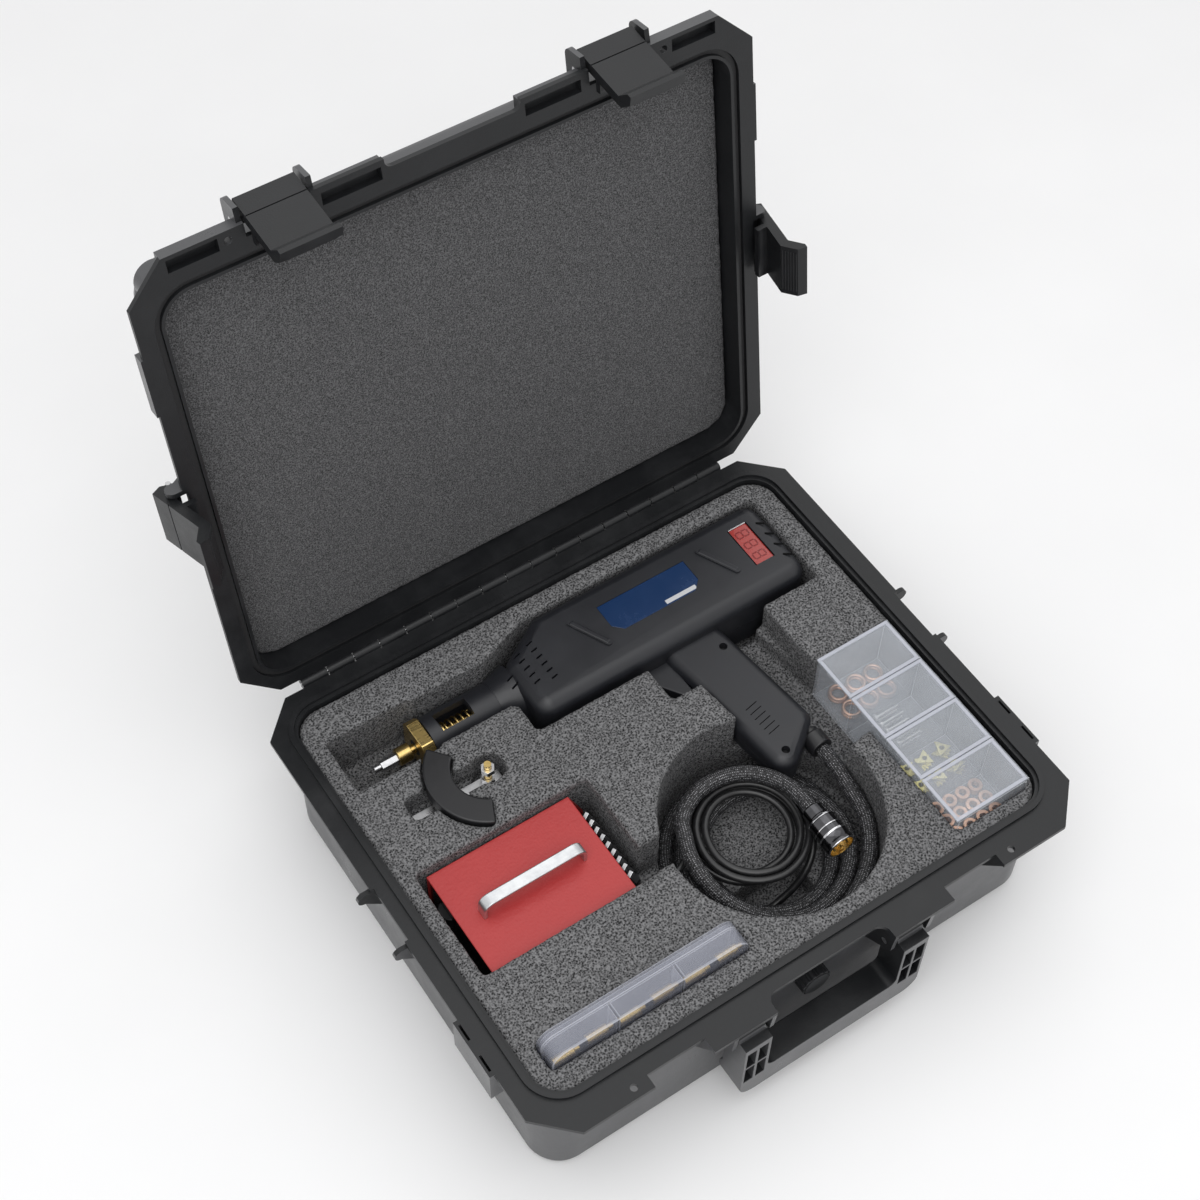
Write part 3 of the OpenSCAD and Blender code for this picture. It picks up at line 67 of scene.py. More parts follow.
def placeCamera(v):
    a, e, r = (math.radians(v[k]) for k in ("azimuth", "elevation", "roll"))
    back = Vector((math.sin(a) * math.cos(e), -math.cos(a) * math.cos(e), math.sin(e)))
    right = Vector((math.cos(a), math.sin(a), 0))
    up = back.cross(right)
    rightTurned = math.cos(r) * right + math.sin(r) * up
    upTurned = -math.sin(r) * right + math.cos(r) * up
    spot = rightTurned * v["across"] + upTurned * v["upward"] + back * v["distance"]
    data = bpy.data.cameras.new("photoCamera")
    data.sensor_width = v["sensor"]
    data.lens = v["focalPixels"] * data.sensor_width / v["imagePixels"]
    data.clip_start = v["clipStart"]
    cam = bpy.data.objects.new("photoCamera", data)
    scene.collection.objects.link(cam)
    cam.matrix_world = Matrix((rightTurned, upTurned, back)).transposed().to_4x4()
    cam.location = spot + Vector((0, 0, rimHeight))
    scene.camera = cam


placeCamera(cameraView)
print("camera placed")


# node helpers
def socketKind(value):
    if not isinstance(value, tuple):
        return "NodeSocketFloat"
    return "NodeSocketVector" if len(value) == 3 else "NodeSocketColor"


def newGroup(name, inputs, outputs):
    tree = bpy.data.node_groups.new(name, "ShaderNodeTree")
    for label, value in inputs.items():
        sock = tree.interface.new_socket(name=label, in_out="INPUT", socket_type=socketKind(value))
        sock.default_value = value
    for label in outputs:
        kind = "NodeSocketColor" if label == "Color" else "NodeSocketFloat"
        tree.interface.new_socket(name=label, in_out="OUTPUT", socket_type=kind)
    return tree, tree.nodes.new("NodeGroupInput"), tree.nodes.new("NodeGroupOutput")


def addNode(tree, kind, wires=(), **settings):
    node = tree.nodes.new(kind)
    for key, value in settings.items():
        setattr(node, key, value)
    for where, value in dict(wires).items():
        if isinstance(value, bpy.types.NodeSocket):
            tree.links.new(value, node.inputs[where])
        else:
            node.inputs[where].default_value = value
    return node


def addMath(tree, op, a, b):
    return addNode(tree, "ShaderNodeMath", {0: a, 1: b}, operation=op).outputs[0]


def addWeighted(tree, a, weightA, b, weightB):
    first = addMath(tree, "MULTIPLY", a, weightA)
    second = addMath(tree, "MULTIPLY", b, weightB)
    return addMath(tree, "ADD", first, second)


def addNoise(tree, vec, scale, detail, roughness=0.5):
    wires = {"Vector": vec, "Scale": scale, "Detail": detail, "Roughness": roughness}
    return addNode(tree, "ShaderNodeTexNoise", wires).outputs["Fac"]


def addRange(tree, value, source=(0.0, 1.0), target=(0.0, 1.0)):
    wires = {"Value": value, "From Min": source[0], "From Max": source[1],
             "To Min": target[0], "To Max": target[1]}
    return addNode(tree, "ShaderNodeMapRange", wires).outputs[0]


def addRamp(tree, fac, stops):
    node = addNode(tree, "ShaderNodeValToRGB", {"Fac": fac})
    for element, (place, colour) in zip(node.color_ramp.elements, stops):
        element.position = place
        element.color = (*colour, 1)
    return node.outputs["Color"]


def addMix(tree, fac, a, b):
    node = tree.nodes.new("ShaderNodeMix")
    node.data_type = "RGBA"
    for sock, value in ((node.inputs[0], fac), (node.inputs[6], a), (node.inputs[7], b)):
        if isinstance(value, bpy.types.NodeSocket):
            tree.links.new(value, sock)
        else:
            sock.default_value = (*value, 1)
    return node.outputs[2]


# pits of cut foam: the colour darkens where the height is low, partly the foam's own speckle and partly
# painted shade in the pits
def makeFoamGroup():
    inputs = {"Vector": (0, 0, 0), "Scale": 900.0, "Dark": (0.03, 0.03, 0.032, 1),
              "Light": (0.16, 0.16, 0.165, 1)}
    tree, gin, gout = newGroup("foamCells", inputs, ("Color", "Height"))
    vec, scale, dark = (gin.outputs[label] for label in ("Vector", "Scale", "Dark"))
    fine = addNoise(tree, vec, scale, 3, 0.7)
    cells = addNode(tree, "ShaderNodeTexVoronoi", {"Vector": vec, "Scale": scale, "Randomness": 1})
    broad = addNoise(tree, vec, 30, 6, 0.8)
    speck = addWeighted(tree, fine, 0.75, cells.outputs["Distance"], 0.4)
    # dark in the pits and light on the cell walls: painted shade of the pits
    mixed = addMix(tree, addRange(tree, speck, (0.41, 0.72)), dark, gin.outputs["Light"])
    shade = addMix(tree, addRange(tree, broad, target=(0.0, 0.22)), mixed, dark)
    tree.links.new(shade, gout.inputs["Color"])
    tree.links.new(speck, gout.inputs["Height"])
    return tree


# fine grain of moulded plastic, with soft scuffs
def makeGrainGroup():
    inputs = {"Vector": (0, 0, 0), "Scale": 1200.0, "Scuff Scale": 22.0, "Colour": (0.03, 0.03, 0.03, 1),
              "Scuffed": (0.06, 0.06, 0.06, 1), "Scuff": 0.4, "Smooth": 0.42, "Rough": 0.62}
    tree, gin, gout = newGroup("mouldedGrain", inputs, ("Color", "Roughness", "Height"))
    vec, scale = gin.outputs["Vector"], gin.outputs["Scale"]
    pebble = addNode(tree, "ShaderNodeTexVoronoi", {"Vector": vec, "Scale": scale}, feature="SMOOTH_F1")
    fine = addNoise(tree, vec, addMath(tree, "MULTIPLY", scale, 1.7), 2)
    scuff = addNoise(tree, vec, gin.outputs["Scuff Scale"], 6, 0.72)
    mask = addRange(tree, scuff, (0.46, 0.78), (0, gin.outputs["Scuff"]))
    tree.links.new(addMix(tree, mask, gin.outputs["Colour"], gin.outputs["Scuffed"]), gout.inputs["Color"])
    rough = addRange(tree, scuff, (0.3, 0.7), (gin.outputs["Smooth"], gin.outputs["Rough"]))
    tree.links.new(rough, gout.inputs["Roughness"])
    height = addWeighted(tree, pebble.outputs["Distance"], 0.7, fine, 0.3)
    tree.links.new(height, gout.inputs["Height"])
    return tree


# drawn or turned lines and dull patches on metal
def makeMetalGroup():
    inputs = {"Vector": (0, 0, 0), "Lines": 900.0, "Colour": (0.6, 0.6, 0.6, 1), "Dull": (0.4, 0.4, 0.4, 1),
              "Patch Scale": 60.0, "Smooth": 0.18, "Rough": 0.42}
    tree, gin, gout = newGroup("workedMetal", inputs, ("Color", "Roughness", "Height"))
    vec = gin.outputs["Vector"]
    patch = addNoise(tree, vec, gin.outputs["Patch Scale"], 5, 0.65)
    stretched = addNode(tree, "ShaderNodeMapping", {"Vector": vec, "Scale": (0.06, 1, 1)})
    lines = addNoise(tree, stretched.outputs[0], gin.outputs["Lines"], 2)
    mask = addRange(tree, patch, (0.42, 0.7))
    tree.links.new(addMix(tree, mask, gin.outputs["Colour"], gin.outputs["Dull"]), gout.inputs["Color"])
    blend = addWeighted(tree, patch, 0.6, lines, 0.4)
    rough = addRange(tree, blend, (0.3, 0.7), (gin.outputs["Smooth"], gin.outputs["Rough"]))
    tree.links.new(rough, gout.inputs["Roughness"])
    tree.links.new(lines, gout.inputs["Height"])
    return tree


foamCells = makeFoamGroup()
mouldedGrain = makeGrainGroup()
workedMetal = makeMetalGroup()


# material helpers
def newMaterial(name, **shader):
    mat = bpy.data.materials.new(name)
    mat.use_nodes = True
    tree = mat.node_tree
    bsdf = tree.nodes["Principled BSDF"]
    for key, value in shader.items():
        bsdf.inputs[key.replace("_", " ")].default_value = value
    coords = tree.nodes.new("ShaderNodeTexCoord")
    return mat, tree, bsdf, coords.outputs["Object"]


def useGroup(tree, group, vec, values):
    node = tree.nodes.new("ShaderNodeGroup")
    node.node_tree = group
    tree.links.new(vec, node.inputs["Vector"])
    for key, value in values.items():
        node.inputs[key].default_value = (*value, 1) if isinstance(value, tuple) else value
    return node


def addBump(tree, bsdf, height, depth, strength):
    bump = addNode(tree, "ShaderNodeBump", {"Height": height, "Distance": depth, "Strength": strength})
    tree.links.new(bump.outputs[0], bsdf.inputs["Normal"])


bumpStrength = {"plastic": 0.6, "metal": 0.4, "foam": 0.8}


def groupMaterial(name, group, look, strength, shader):
    mat, tree, bsdf, vec = newMaterial(name, **shader)
    made = useGroup(tree, group, vec, {key: value for key, value in look.items() if key != "depth"})
    for output, socket in (("Color", "Base Color"), ("Roughness", "Roughness")):
        if output in made.outputs:
            tree.links.new(made.outputs[output], bsdf.inputs[socket])
    addBump(tree, bsdf, made.outputs["Height"], look["depth"], strength)
    return mat


def plasticMaterial(name, look, **shader):
    return groupMaterial(name, mouldedGrain, look, bumpStrength["plastic"], shader)


def metalMaterial(name, look):
    return groupMaterial(name, workedMetal, look, bumpStrength["metal"], {"Metallic": 1.0})


plasticLooks = {
    "case": {"Scale": 900.0, "Colour": (0.009, 0.0096, 0.0108), "Scuffed": (0.024, 0.025, 0.027),
             "Scuff": 0.55, "Smooth": 0.3, "Rough": 0.5, "depth": 0.00014},
    # paler copy of the case plastic for the outer walls: painted sheen, the light these walls catch
    "wall": {"Scale": 900.0, "Colour": (0.06, 0.061, 0.065), "Scuffed": (0.09, 0.091, 0.096),
             "Scuff": 0.55, "Smooth": 0.25, "Rough": 0.42, "depth": 0.00014},
    "gun": {"Scale": 1500.0, "Colour": (0.0125, 0.0132, 0.0165), "Scuffed": (0.025, 0.0265, 0.032),
            "Scuff": 0.45, "Smooth": 0.36, "Rough": 0.5, "depth": 0.00006},
    "dark": {"Scale": 1300.0, "Colour": (0.011, 0.011, 0.0125), "Scuffed": (0.024, 0.024, 0.026),
             "Scuff": 0.4, "Smooth": 0.32, "Rough": 0.5, "depth": 0.00006},
    "gloss": {"Scale": 1600.0, "Colour": (0.008, 0.008, 0.009), "Scuffed": (0.02, 0.02, 0.022),
              "Scuff": 0.4, "Smooth": 0.05, "Rough": 0.16, "depth": 0.00002},
    # near black for slots, grooves and window sides: painted shade
    "slot": {"Scale": 1500.0, "Colour": (0.002, 0.002, 0.0022), "Scuffed": (0.004, 0.004, 0.0042),
             "Scuff": 0.4, "Smooth": 0.6, "Rough": 0.8, "depth": 0.00002},
    "rubber": {"Scale": 700.0, "Colour": (0.01, 0.01, 0.011), "Scuffed": (0.024, 0.024, 0.026),
               "Scuff": 0.5, "Smooth": 0.55, "Rough": 0.75, "depth": 0.00006},
    "label": {"Scale": 2200.0, "Colour": (0.006, 0.03, 0.1), "Scuffed": (0.01, 0.045, 0.14),
              "Scuff": 0.5, "Smooth": 0.2, "Rough": 0.32, "depth": 0.00001},
    "lens": {"Scale": 2000.0, "Colour": (0.36, 0.024, 0.018), "Scuffed": (0.46, 0.045, 0.03),
             "Scuff": 0.5, "Smooth": 0.12, "Rough": 0.24, "depth": 0.00001},
    "segment": {"Scale": 2000.0, "Colour": (0.2, 0.011, 0.01), "Scuffed": (0.25, 0.018, 0.014),
                "Scuff": 0.4, "Smooth": 0.2, "Rough": 0.3, "depth": 0.00001},
    "resin": {"Scale": 1500.0, "Colour": (0.36, 0.27, 0.07), "Scuffed": (0.2, 0.15, 0.035),
              "Scuff": 0.7, "Smooth": 0.12, "Rough": 0.3, "depth": 0.00004},
    "board": {"Scale": 500.0, "Colour": (0.012, 0.08, 0.035), "Scuffed": (0.03, 0.12, 0.05),
              "Scuff": 0.6, "Smooth": 0.25, "Rough": 0.4, "depth": 0.00005},
    "winding": {"Scale": 600.0, "Colour": (0.09, 0.05, 0.025), "Scuffed": (0.16, 0.08, 0.035),
                "Scuff": 0.7, "Smooth": 0.35, "Rough": 0.6, "depth": 0.0002},
    "red": {"Scale": 520.0, "Colour": (0.43, 0.036, 0.036), "Scuffed": (0.5, 0.06, 0.058),
            "Scuff": 0.6, "Smooth": 0.36, "Rough": 0.52, "depth": 0.0004},
}
metalLooks = {
    "steel": {"Colour": (0.6, 0.6, 0.61), "Dull": (0.4, 0.4, 0.41), "Smooth": 0.2, "Rough": 0.42,
              "depth": 0.00003},
    # steel darkened for the gun screws: painted shade of the deep holes they sit in
    "screwShadeSteel": {"Colour": (0.05, 0.05, 0.052), "Dull": (0.025, 0.025, 0.026), "Smooth": 0.3, "Rough": 0.5,
                  "depth": 0.00003},
    "brass": {"Colour": (0.68, 0.5, 0.2), "Dull": (0.44, 0.31, 0.11), "Smooth": 0.16, "Rough": 0.42,
              "depth": 0.00003},
    "copper": {"Colour": (0.8, 0.5, 0.36), "Dull": (0.6, 0.36, 0.25), "Smooth": 0.25, "Rough": 0.48,
               "depth": 0.00003},
    "yellow": {"Colour": (0.74, 0.68, 0.3), "Dull": (0.56, 0.5, 0.2), "Smooth": 0.25, "Rough": 0.45,
               "depth": 0.00003},
    "chrome": {"Colour": (0.6, 0.6, 0.62), "Dull": (0.46, 0.46, 0.48), "Smooth": 0.05, "Rough": 0.16,
               "depth": 0.00001},
    # chrome painted black: painted dark reflection on the connector's shell
    "chromeDarkReflection": {"Colour": (0.09, 0.09, 0.095), "Dull": (0.05, 0.05, 0.054), "Smooth": 0.08,
                    "Rough": 0.22, "depth": 0.00001},
    "aluminium": {"Colour": (0.6, 0.61, 0.62), "Dull": (0.5, 0.51, 0.53), "Smooth": 0.26, "Rough": 0.44,
                  "Lines": 1400.0, "depth": 0.00004},
}

casePlastic = plasticMaterial("casePlastic", plasticLooks["case"], Specular_IOR_Level=0.35)
# the paler copy holds the painted sheen of the outer walls
caseWall = plasticMaterial("caseWall", plasticLooks["wall"], Specular_IOR_Level=0.6)
gunPlastic = plasticMaterial("gunPlastic", plasticLooks["gun"])
darkPlastic = plasticMaterial("darkPlastic", plasticLooks["dark"])
sealRubber = plasticMaterial("sealRubber", plasticLooks["rubber"])
labelFilm = plasticMaterial("labelFilm", plasticLooks["label"], Coat_Weight=0.2)
glossPlastic = plasticMaterial("glossPlastic", plasticLooks["gloss"])
slotShade = plasticMaterial("slotShade", plasticLooks["slot"], Specular_IOR_Level=0.1)
redLens = plasticMaterial("redLens", plasticLooks["lens"], Coat_Weight=0.3)
darkSegment = plasticMaterial("darkSegment", plasticLooks["segment"])
pinResin = plasticMaterial("pinResin", plasticLooks["resin"])
boardGreen = plasticMaterial("boardGreen", plasticLooks["board"])
windingCoil = plasticMaterial("windingCoil", plasticLooks["winding"])
redPaint = plasticMaterial("redPaint", plasticLooks["red"])
steel = metalMaterial("steel", metalLooks["steel"])
brass = metalMaterial("brass", metalLooks["brass"])
copper = metalMaterial("copper", metalLooks["copper"])
screwShadeSteel = metalMaterial("screwShadeSteel", metalLooks["screwShadeSteel"])
yellowMetal = metalMaterial("yellowMetal", metalLooks["yellow"])
chrome = metalMaterial("chrome", metalLooks["chrome"])
chromeDarkReflection = metalMaterial("chromeDarkReflection", metalLooks["chromeDarkReflection"])
aluminium = metalMaterial("aluminium", metalLooks["aluminium"])

# foam: coarse cut cells in the base, a finer sheet in the lid
# the Dark colour also stands for the painted shade in the pits
foamLooks = {"base": {"Scale": 620.0, "Dark": (0.006, 0.006, 0.0065), "Light": (0.262, 0.262, 0.268),
                      "depth": 0.0009},
             "lid": {"Scale": 900.0, "Dark": (0.028, 0.028, 0.029), "Light": (0.168, 0.168, 0.173),
                     "depth": 0.0009}}


def foamMaterial(name, look):
    shader = {"Roughness": 0.95, "Specular_IOR_Level": 0.15}
    return groupMaterial(name, foamCells, look, bumpStrength["foam"], shader)


# frosted boxes: clear faces and pale edges on the parts box, milky ones on the organiser; the pale, more
# opaque edges are painted highlights
frostedLooks = {"face": {"tint": (0.74, 0.78, 0.84, 1), "alpha": (0.18, 0.27)},
                "rim": {"tint": (0.9, 0.93, 0.97, 1), "alpha": (0.75, 0.92)},
                "milkyFace": {"tint": (0.52, 0.54, 0.63, 1), "alpha": (0.22, 0.32)},
                "milkyEdgeGlint": {"tint": (0.66, 0.68, 0.76, 1), "alpha": (0.5, 0.64)}}
frostedGrain = {"cloud": 45, "fine": 1600, "roughness": (0.22, 0.4), "depth": 0.00005, "strength": 0.5}


def frostedMaterial(name, look, grain):
    mat, tree, bsdf, vec = newMaterial(name, Base_Color=look["tint"], IOR=1.45)
    cloud = addNoise(tree, vec, grain["cloud"], 4)
    fine = addNoise(tree, vec, grain["fine"], 2)
    tree.links.new(addRange(tree, cloud, target=look["alpha"]), bsdf.inputs["Alpha"])
    tree.links.new(addRange(tree, fine, target=grain["roughness"]), bsdf.inputs["Roughness"])
    addBump(tree, bsdf, fine, grain["depth"], grain["strength"])
    return mat


# woven sleeve: two families of strands on the lead's own UV map, with painted shade in the gaps between
# strands and pale flecks on their crossings as painted highlights
braidLook = {"strands": 10.0, "lay": 0.030, "gap": (0.005, 0.005, 0.006), "strand": (0.024, 0.024, 0.026),
             "fleck": (0.42, 0.42, 0.44), "glintScale": 420, "glintRange": (0.4, 0.58),
             "knotRange": (0.3, 0.85), "shade": (0.0, 0.5), "depth": 0.0004, "strength": 0.7}


def makeBraidMaterial(look):
    mat, tree, bsdf, vec = newMaterial("blackBraid", Roughness=0.55)
    uv = addNode(tree, "ShaderNodeUVMap", uv_map="along")
    parts = addNode(tree, "ShaderNodeSeparateXYZ", {0: uv.outputs[0]})
    run, around = parts.outputs[0], parts.outputs[1]
    waves = []
    for sign in (1, -1):
        turn = addWeighted(tree, around, look["strands"], run, sign * look["strands"] / look["lay"])
        waves.append(addMath(tree, "SINE", addMath(tree, "MULTIPLY", turn, 2 * math.pi), 0))
    over = addMath(tree, "MAXIMUM", waves[0], waves[1])
    under = addMath(tree, "MULTIPLY", waves[0], waves[1])
    # pale flecks where the strands cross: painted highlights
    knots = addRange(tree, under, look["knotRange"])
    picked = addRange(tree, addNoise(tree, vec, look["glintScale"], 2), look["glintRange"])
    light = addMath(tree, "MULTIPLY", knots, picked)
    # darker where the strands dip under: painted shade in the gaps
    ground = addMix(tree, addRange(tree, over, target=look["shade"]), look["gap"], look["strand"])
    tree.links.new(addMix(tree, light, ground, look["fleck"]), bsdf.inputs["Base Color"])
    addBump(tree, bsdf, over, look["depth"], look["strength"])
    return mat


# plain cord of the mains lead
cordLook = {"grain": 260, "stops": [(0.3, (0.009, 0.009, 0.01)), (0.75, (0.02, 0.02, 0.021))],
            "roughness": (0.24, 0.44), "depth": 0.0001, "strength": 0.4}


def makeCordMaterial(look):
    mat, tree, bsdf, vec = newMaterial("blackCord")
    fine = addNoise(tree, vec, look["grain"], 4)
    tree.links.new(addRamp(tree, fine, look["stops"]), bsdf.inputs["Base Color"])
    tree.links.new(addRange(tree, fine, target=look["roughness"]), bsdf.inputs["Roughness"])
    addBump(tree, bsdf, fine, look["depth"], look["strength"])
    return mat


# label: an empty pale strip near its lower right corner, measured on the gun's flat side
labelStrip = {"across": (0.0845, 0.1145), "along": (0.1232, 0.1272), "colour": (0.62, 0.63, 0.65)}


def addLabelStrip(mat, strip):
    tree = mat.node_tree
    bsdf = tree.nodes["Principled BSDF"]
    coords = tree.nodes.new("ShaderNodeTexCoord")
    parts = addNode(tree, "ShaderNodeSeparateXYZ", {0: coords.outputs["Object"]})
    masks = []
    for part, (low, high) in ((0, strip["across"]), (1, strip["along"])):
        wires = {0: parts.outputs[part], 1: (low + high) / 2, 2: (high - low) / 2}
        masks.append(addNode(tree, "ShaderNodeMath", wires, operation="COMPARE").outputs[0])
    plain = bsdf.inputs["Base Color"].links[0].from_socket
    mask = addMath(tree, "MULTIPLY", masks[0], masks[1])
    tree.links.new(addMix(tree, mask, plain, strip["colour"]), bsdf.inputs["Base Color"])


addLabelStrip(labelFilm, labelStrip)
cutFoam = foamMaterial("cutFoam", foamLooks["base"])
sheetFoam = foamMaterial("sheetFoam", foamLooks["lid"])
frostedPlastic = frostedMaterial("frostedPlastic", frostedLooks["face"], frostedGrain)
frostedEdgeGlint = frostedMaterial("frostedEdgeGlint", frostedLooks["rim"], frostedGrain)
milkyPlastic = frostedMaterial("milkyPlastic", frostedLooks["milkyFace"], frostedGrain)
milkyEdgeGlint = frostedMaterial("milkyEdgeGlint", frostedLooks["milkyEdgeGlint"], frostedGrain)
glintOfFinish = {frostedPlastic: frostedEdgeGlint, milkyPlastic: milkyEdgeGlint}
blackBraid = makeBraidMaterial(braidLook)
blackCord = makeCordMaterial(cordLook)
print("materials made:", len(bpy.data.materials))


# mesh helpers
mergeGap = 0.00002


def finishMesh(name, bm, material):
    mesh = bpy.data.meshes.new(name)
    bm.to_mesh(mesh)
    bm.free()
    mesh.materials.append(material)
    piece = bpy.data.objects.new(name, mesh)
    scene.collection.objects.link(piece)
    return piece


def mergedSolid(nodeName):
    bm = bmesh.new()
    bm.from_mesh(nodes[nodeName].data)
    bmesh.ops.remove_doubles(bm, verts=bm.verts, dist=mergeGap)
    return bm


def bridgeRings(bm, rings):
    for i in range(len(rings) - 1):
        for k in range(len(rings[i])):
            n = (k + 1) % len(rings[i])
            face = bm.faces.new((rings[i][k], rings[i][n], rings[i + 1][n], rings[i + 1][k]))
            face.smooth = True
            yield i, k, face


def closeEnds(bm, rings):
    bm.faces.new(list(reversed(rings[0])))
    bm.faces.new(rings[-1])
    bmesh.ops.recalc_face_normals(bm, faces=bm.faces)


def standFor(piece, nodeName, body, slotName):
    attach(piece, body)
    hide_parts(nodeName)


# leads: the routes of the solids; tables and points are in degrees and millimetres, heights from the rim
routeParts = 4
gunLead = {"diameter": 0.013, "sides": 18, "centre": (0.042, -0.079), "step": 15, "end": 1290,
           "turns": [(0, 80), (280, 80), (380, 66.2), (640, 66.2), (740, 52.4), (1000, 52.4), (1100, 66.2),
                     (1320, 66.2)],
           "rises": [(0, -41), (200, -74.1), (800, -74.1), (980, -60.3), (1180, -60.3), (1265, -33),
                     (1320, -32.5)],
           "out": [(122, -42, -34), (122, -55, -34.3), (122, -67, -37)],
           "back": [(-10.5, -35, -32.5), (0, -27, -32.2), (12.5, -21.5, -31.5), (26, -20, -30.5),
                    (39.5, -21.8, -29.6), (51.8, -27, -28.7), (62.3, -35, -28), (70.7, -46, -27.4),
                    (76, -58.5, -26.8), (78, -72, -26.5), (78, -84, -26.5)]}
mainsLead = {"diameter": 0.0062, "sides": 14, "centre": (0.0335, -0.0645), "step": 15, "end": 1545,
             "turns": [(-60, 48), (180, 48), (280, 41), (540, 41), (640, 34), (900, 34), (1000, 41),
                       (1260, 41), (1360, 48), (1545, 48)],
             "rises": [(-60, -43.2), (720, -43.2), (880, -50), (1545, -50)],
             "out": [(-44, -64, -47), (-37.5, -64, -47), (-29, -62, -46), (-20.5, -57, -44.6),
                     (-13.5, -49.5, -43.4)],
             "back": [(76, -93, -53), (69, -103, -59), (59, -109.5, -68), (47, -112, -79), (34, -112, -88),
                      (22, -112, -92.3), (12, -112, -93), (3, -112, -93)]}


def readTable(t, table):
    for (a, x), (b, y) in zip(table, table[1:]):
        if t <= b:
            return x + (y - x) * max(0, t - a) / (b - a)
    return table[-1][1]


def loosePoint(p):
    return Vector((p[0] / perMetre, p[1] / perMetre, rimHeight + p[2] / perMetre))


def leadPoints(lead, fromRight):
    cx, cy = lead["centre"]
    points = [loosePoint(p) for p in lead["out"]]
    turn = lead["step"] if fromRight else lead["turns"][0][0]
    while turn <= lead["end"]:
        r = readTable(turn, lead["turns"]) / perMetre
        z = rimHeight + readTable(turn, lead["rises"]) / perMetre
        c, s = math.cos(math.radians(turn)), math.sin(math.radians(turn))
        across, along = (c, -s) if fromRight else (s, c)
        points.append(Vector((cx + r * across, cy + r * along, z)))
        turn += lead["step"]
    return points + [loosePoint(p) for p in lead["back"]]


def smoothRoute(points):
    route = []
    for i in range(len(points) - 1):
        p0, p1 = points[max(i - 1, 0)], points[i]
        p2, p3 = points[i + 1], points[min(i + 2, len(points) - 1)]
        for k in range(routeParts):
            t = k / routeParts
            route.append(0.5 * (2 * p1 + (p2 - p0) * t + (2 * p0 - 5 * p1 + 4 * p2 - p3) * t * t
                                + (3 * p1 - p0 - 3 * p2 + p3) * t ** 3))
    return route + [points[-1]]


def sweptTube(name, route, lead, material):
    bm = bmesh.new()
    uvLayer = bm.loops.layers.uv.new("along")
    radius, sides = lead["diameter"] / 2, lead["sides"]
    angles = [2 * math.pi * k / sides for k in range(sides)]
    rings, runs, travelled = [], [], 0
    side = Vector((0, 0, 1))
    for i, p in enumerate(route):
        heading = (route[min(i + 1, len(route) - 1)] - route[max(i - 1, 0)]).normalized()
        side = (side - heading * side.dot(heading)).normalized()
        up = heading.cross(side)
        if i:
            travelled += (p - route[i - 1]).length
        runs.append(travelled)
        rings.append([bm.verts.new(p + radius * (math.cos(a) * side + math.sin(a) * up)) for a in angles])
    for i, k, face in bridgeRings(bm, rings):
        corners = ((runs[i], k), (runs[i], k + 1), (runs[i + 1], k + 1), (runs[i + 1], k))
        for loop, (run, turn) in zip(face.loops, corners):
            loop[uvLayer].uv = (run, turn / sides)
    closeEnds(bm, rings)
    return finishMesh(name, bm, material), travelled


gunRoute = smoothRoute(leadPoints(gunLead, True))
gunLeadPiece, gunLeadLength = sweptTube("gunLeadSleeve", gunRoute, gunLead, blackBraid)
mainsRoute = smoothRoute(leadPoints(mainsLead, False))
mainsLeadPiece, mainsLeadLength = sweptTube("mainsLeadCord", mainsRoute, mainsLead, blackCord)
standFor(gunLeadPiece, "gun_lead", "case", "braid")
standFor(mainsLeadPiece, "mains_lead", "case", "cord_black")
print("leads laid: %.2f m and %.2f m" % (gunLeadLength, mainsLeadLength))

# foam: a merged copy of the solid, remeshed, with rough cut walls and nearly flat faces
foamCut = {"voxel": 0.0023, "wallDepth": 0.0012, "flatDepth": 0.0003, "levelFrom": 0.8, "uprightFrom": 0.95,
           "coarse": (160, 0.6), "fine": (420, 0.5)}


def roughFoam(mesh, cut, upright):
    normals = [v.normal.copy() for v in mesh.vertices]
    for v, n in zip(mesh.vertices, normals):
        flat = abs(n.z) > cut["levelFrom"] or upright and abs(n.y) > cut["uprightFrom"]
        depth = cut["flatDepth"] if flat else cut["wallDepth"]
        rough = sum(abs(noise.noise(v.co * scale)) * share for scale, share in (cut["coarse"], cut["fine"]))
        v.co -= n * rough * depth


def foamPiece(name, nodeName, body, cut, material, upright):
    piece = finishMesh(name, mergedSolid(nodeName), material)
    remesh = piece.modifiers.new("even", "REMESH")
    remesh.mode = "VOXEL"
    remesh.voxel_size = cut["voxel"]
    even = bpy.data.meshes.new_from_object(piece.evaluated_get(bpy.context.evaluated_depsgraph_get()))
    piece.modifiers.remove(remesh)
    piece.data = even
    if not even.materials:
        even.materials.append(material)
    roughFoam(even, cut, upright)
    even.shade_smooth()
    standFor(piece, nodeName, body, "foam")
    print(name, "has", len(even.polygons), "faces")


foamPiece("baseFoamInsert", "base_foam", "case", foamCut, cutFoam, False)
foamPiece("lidFoamSheet", "lid_foam", "lid", foamCut, sheetFoam, True)

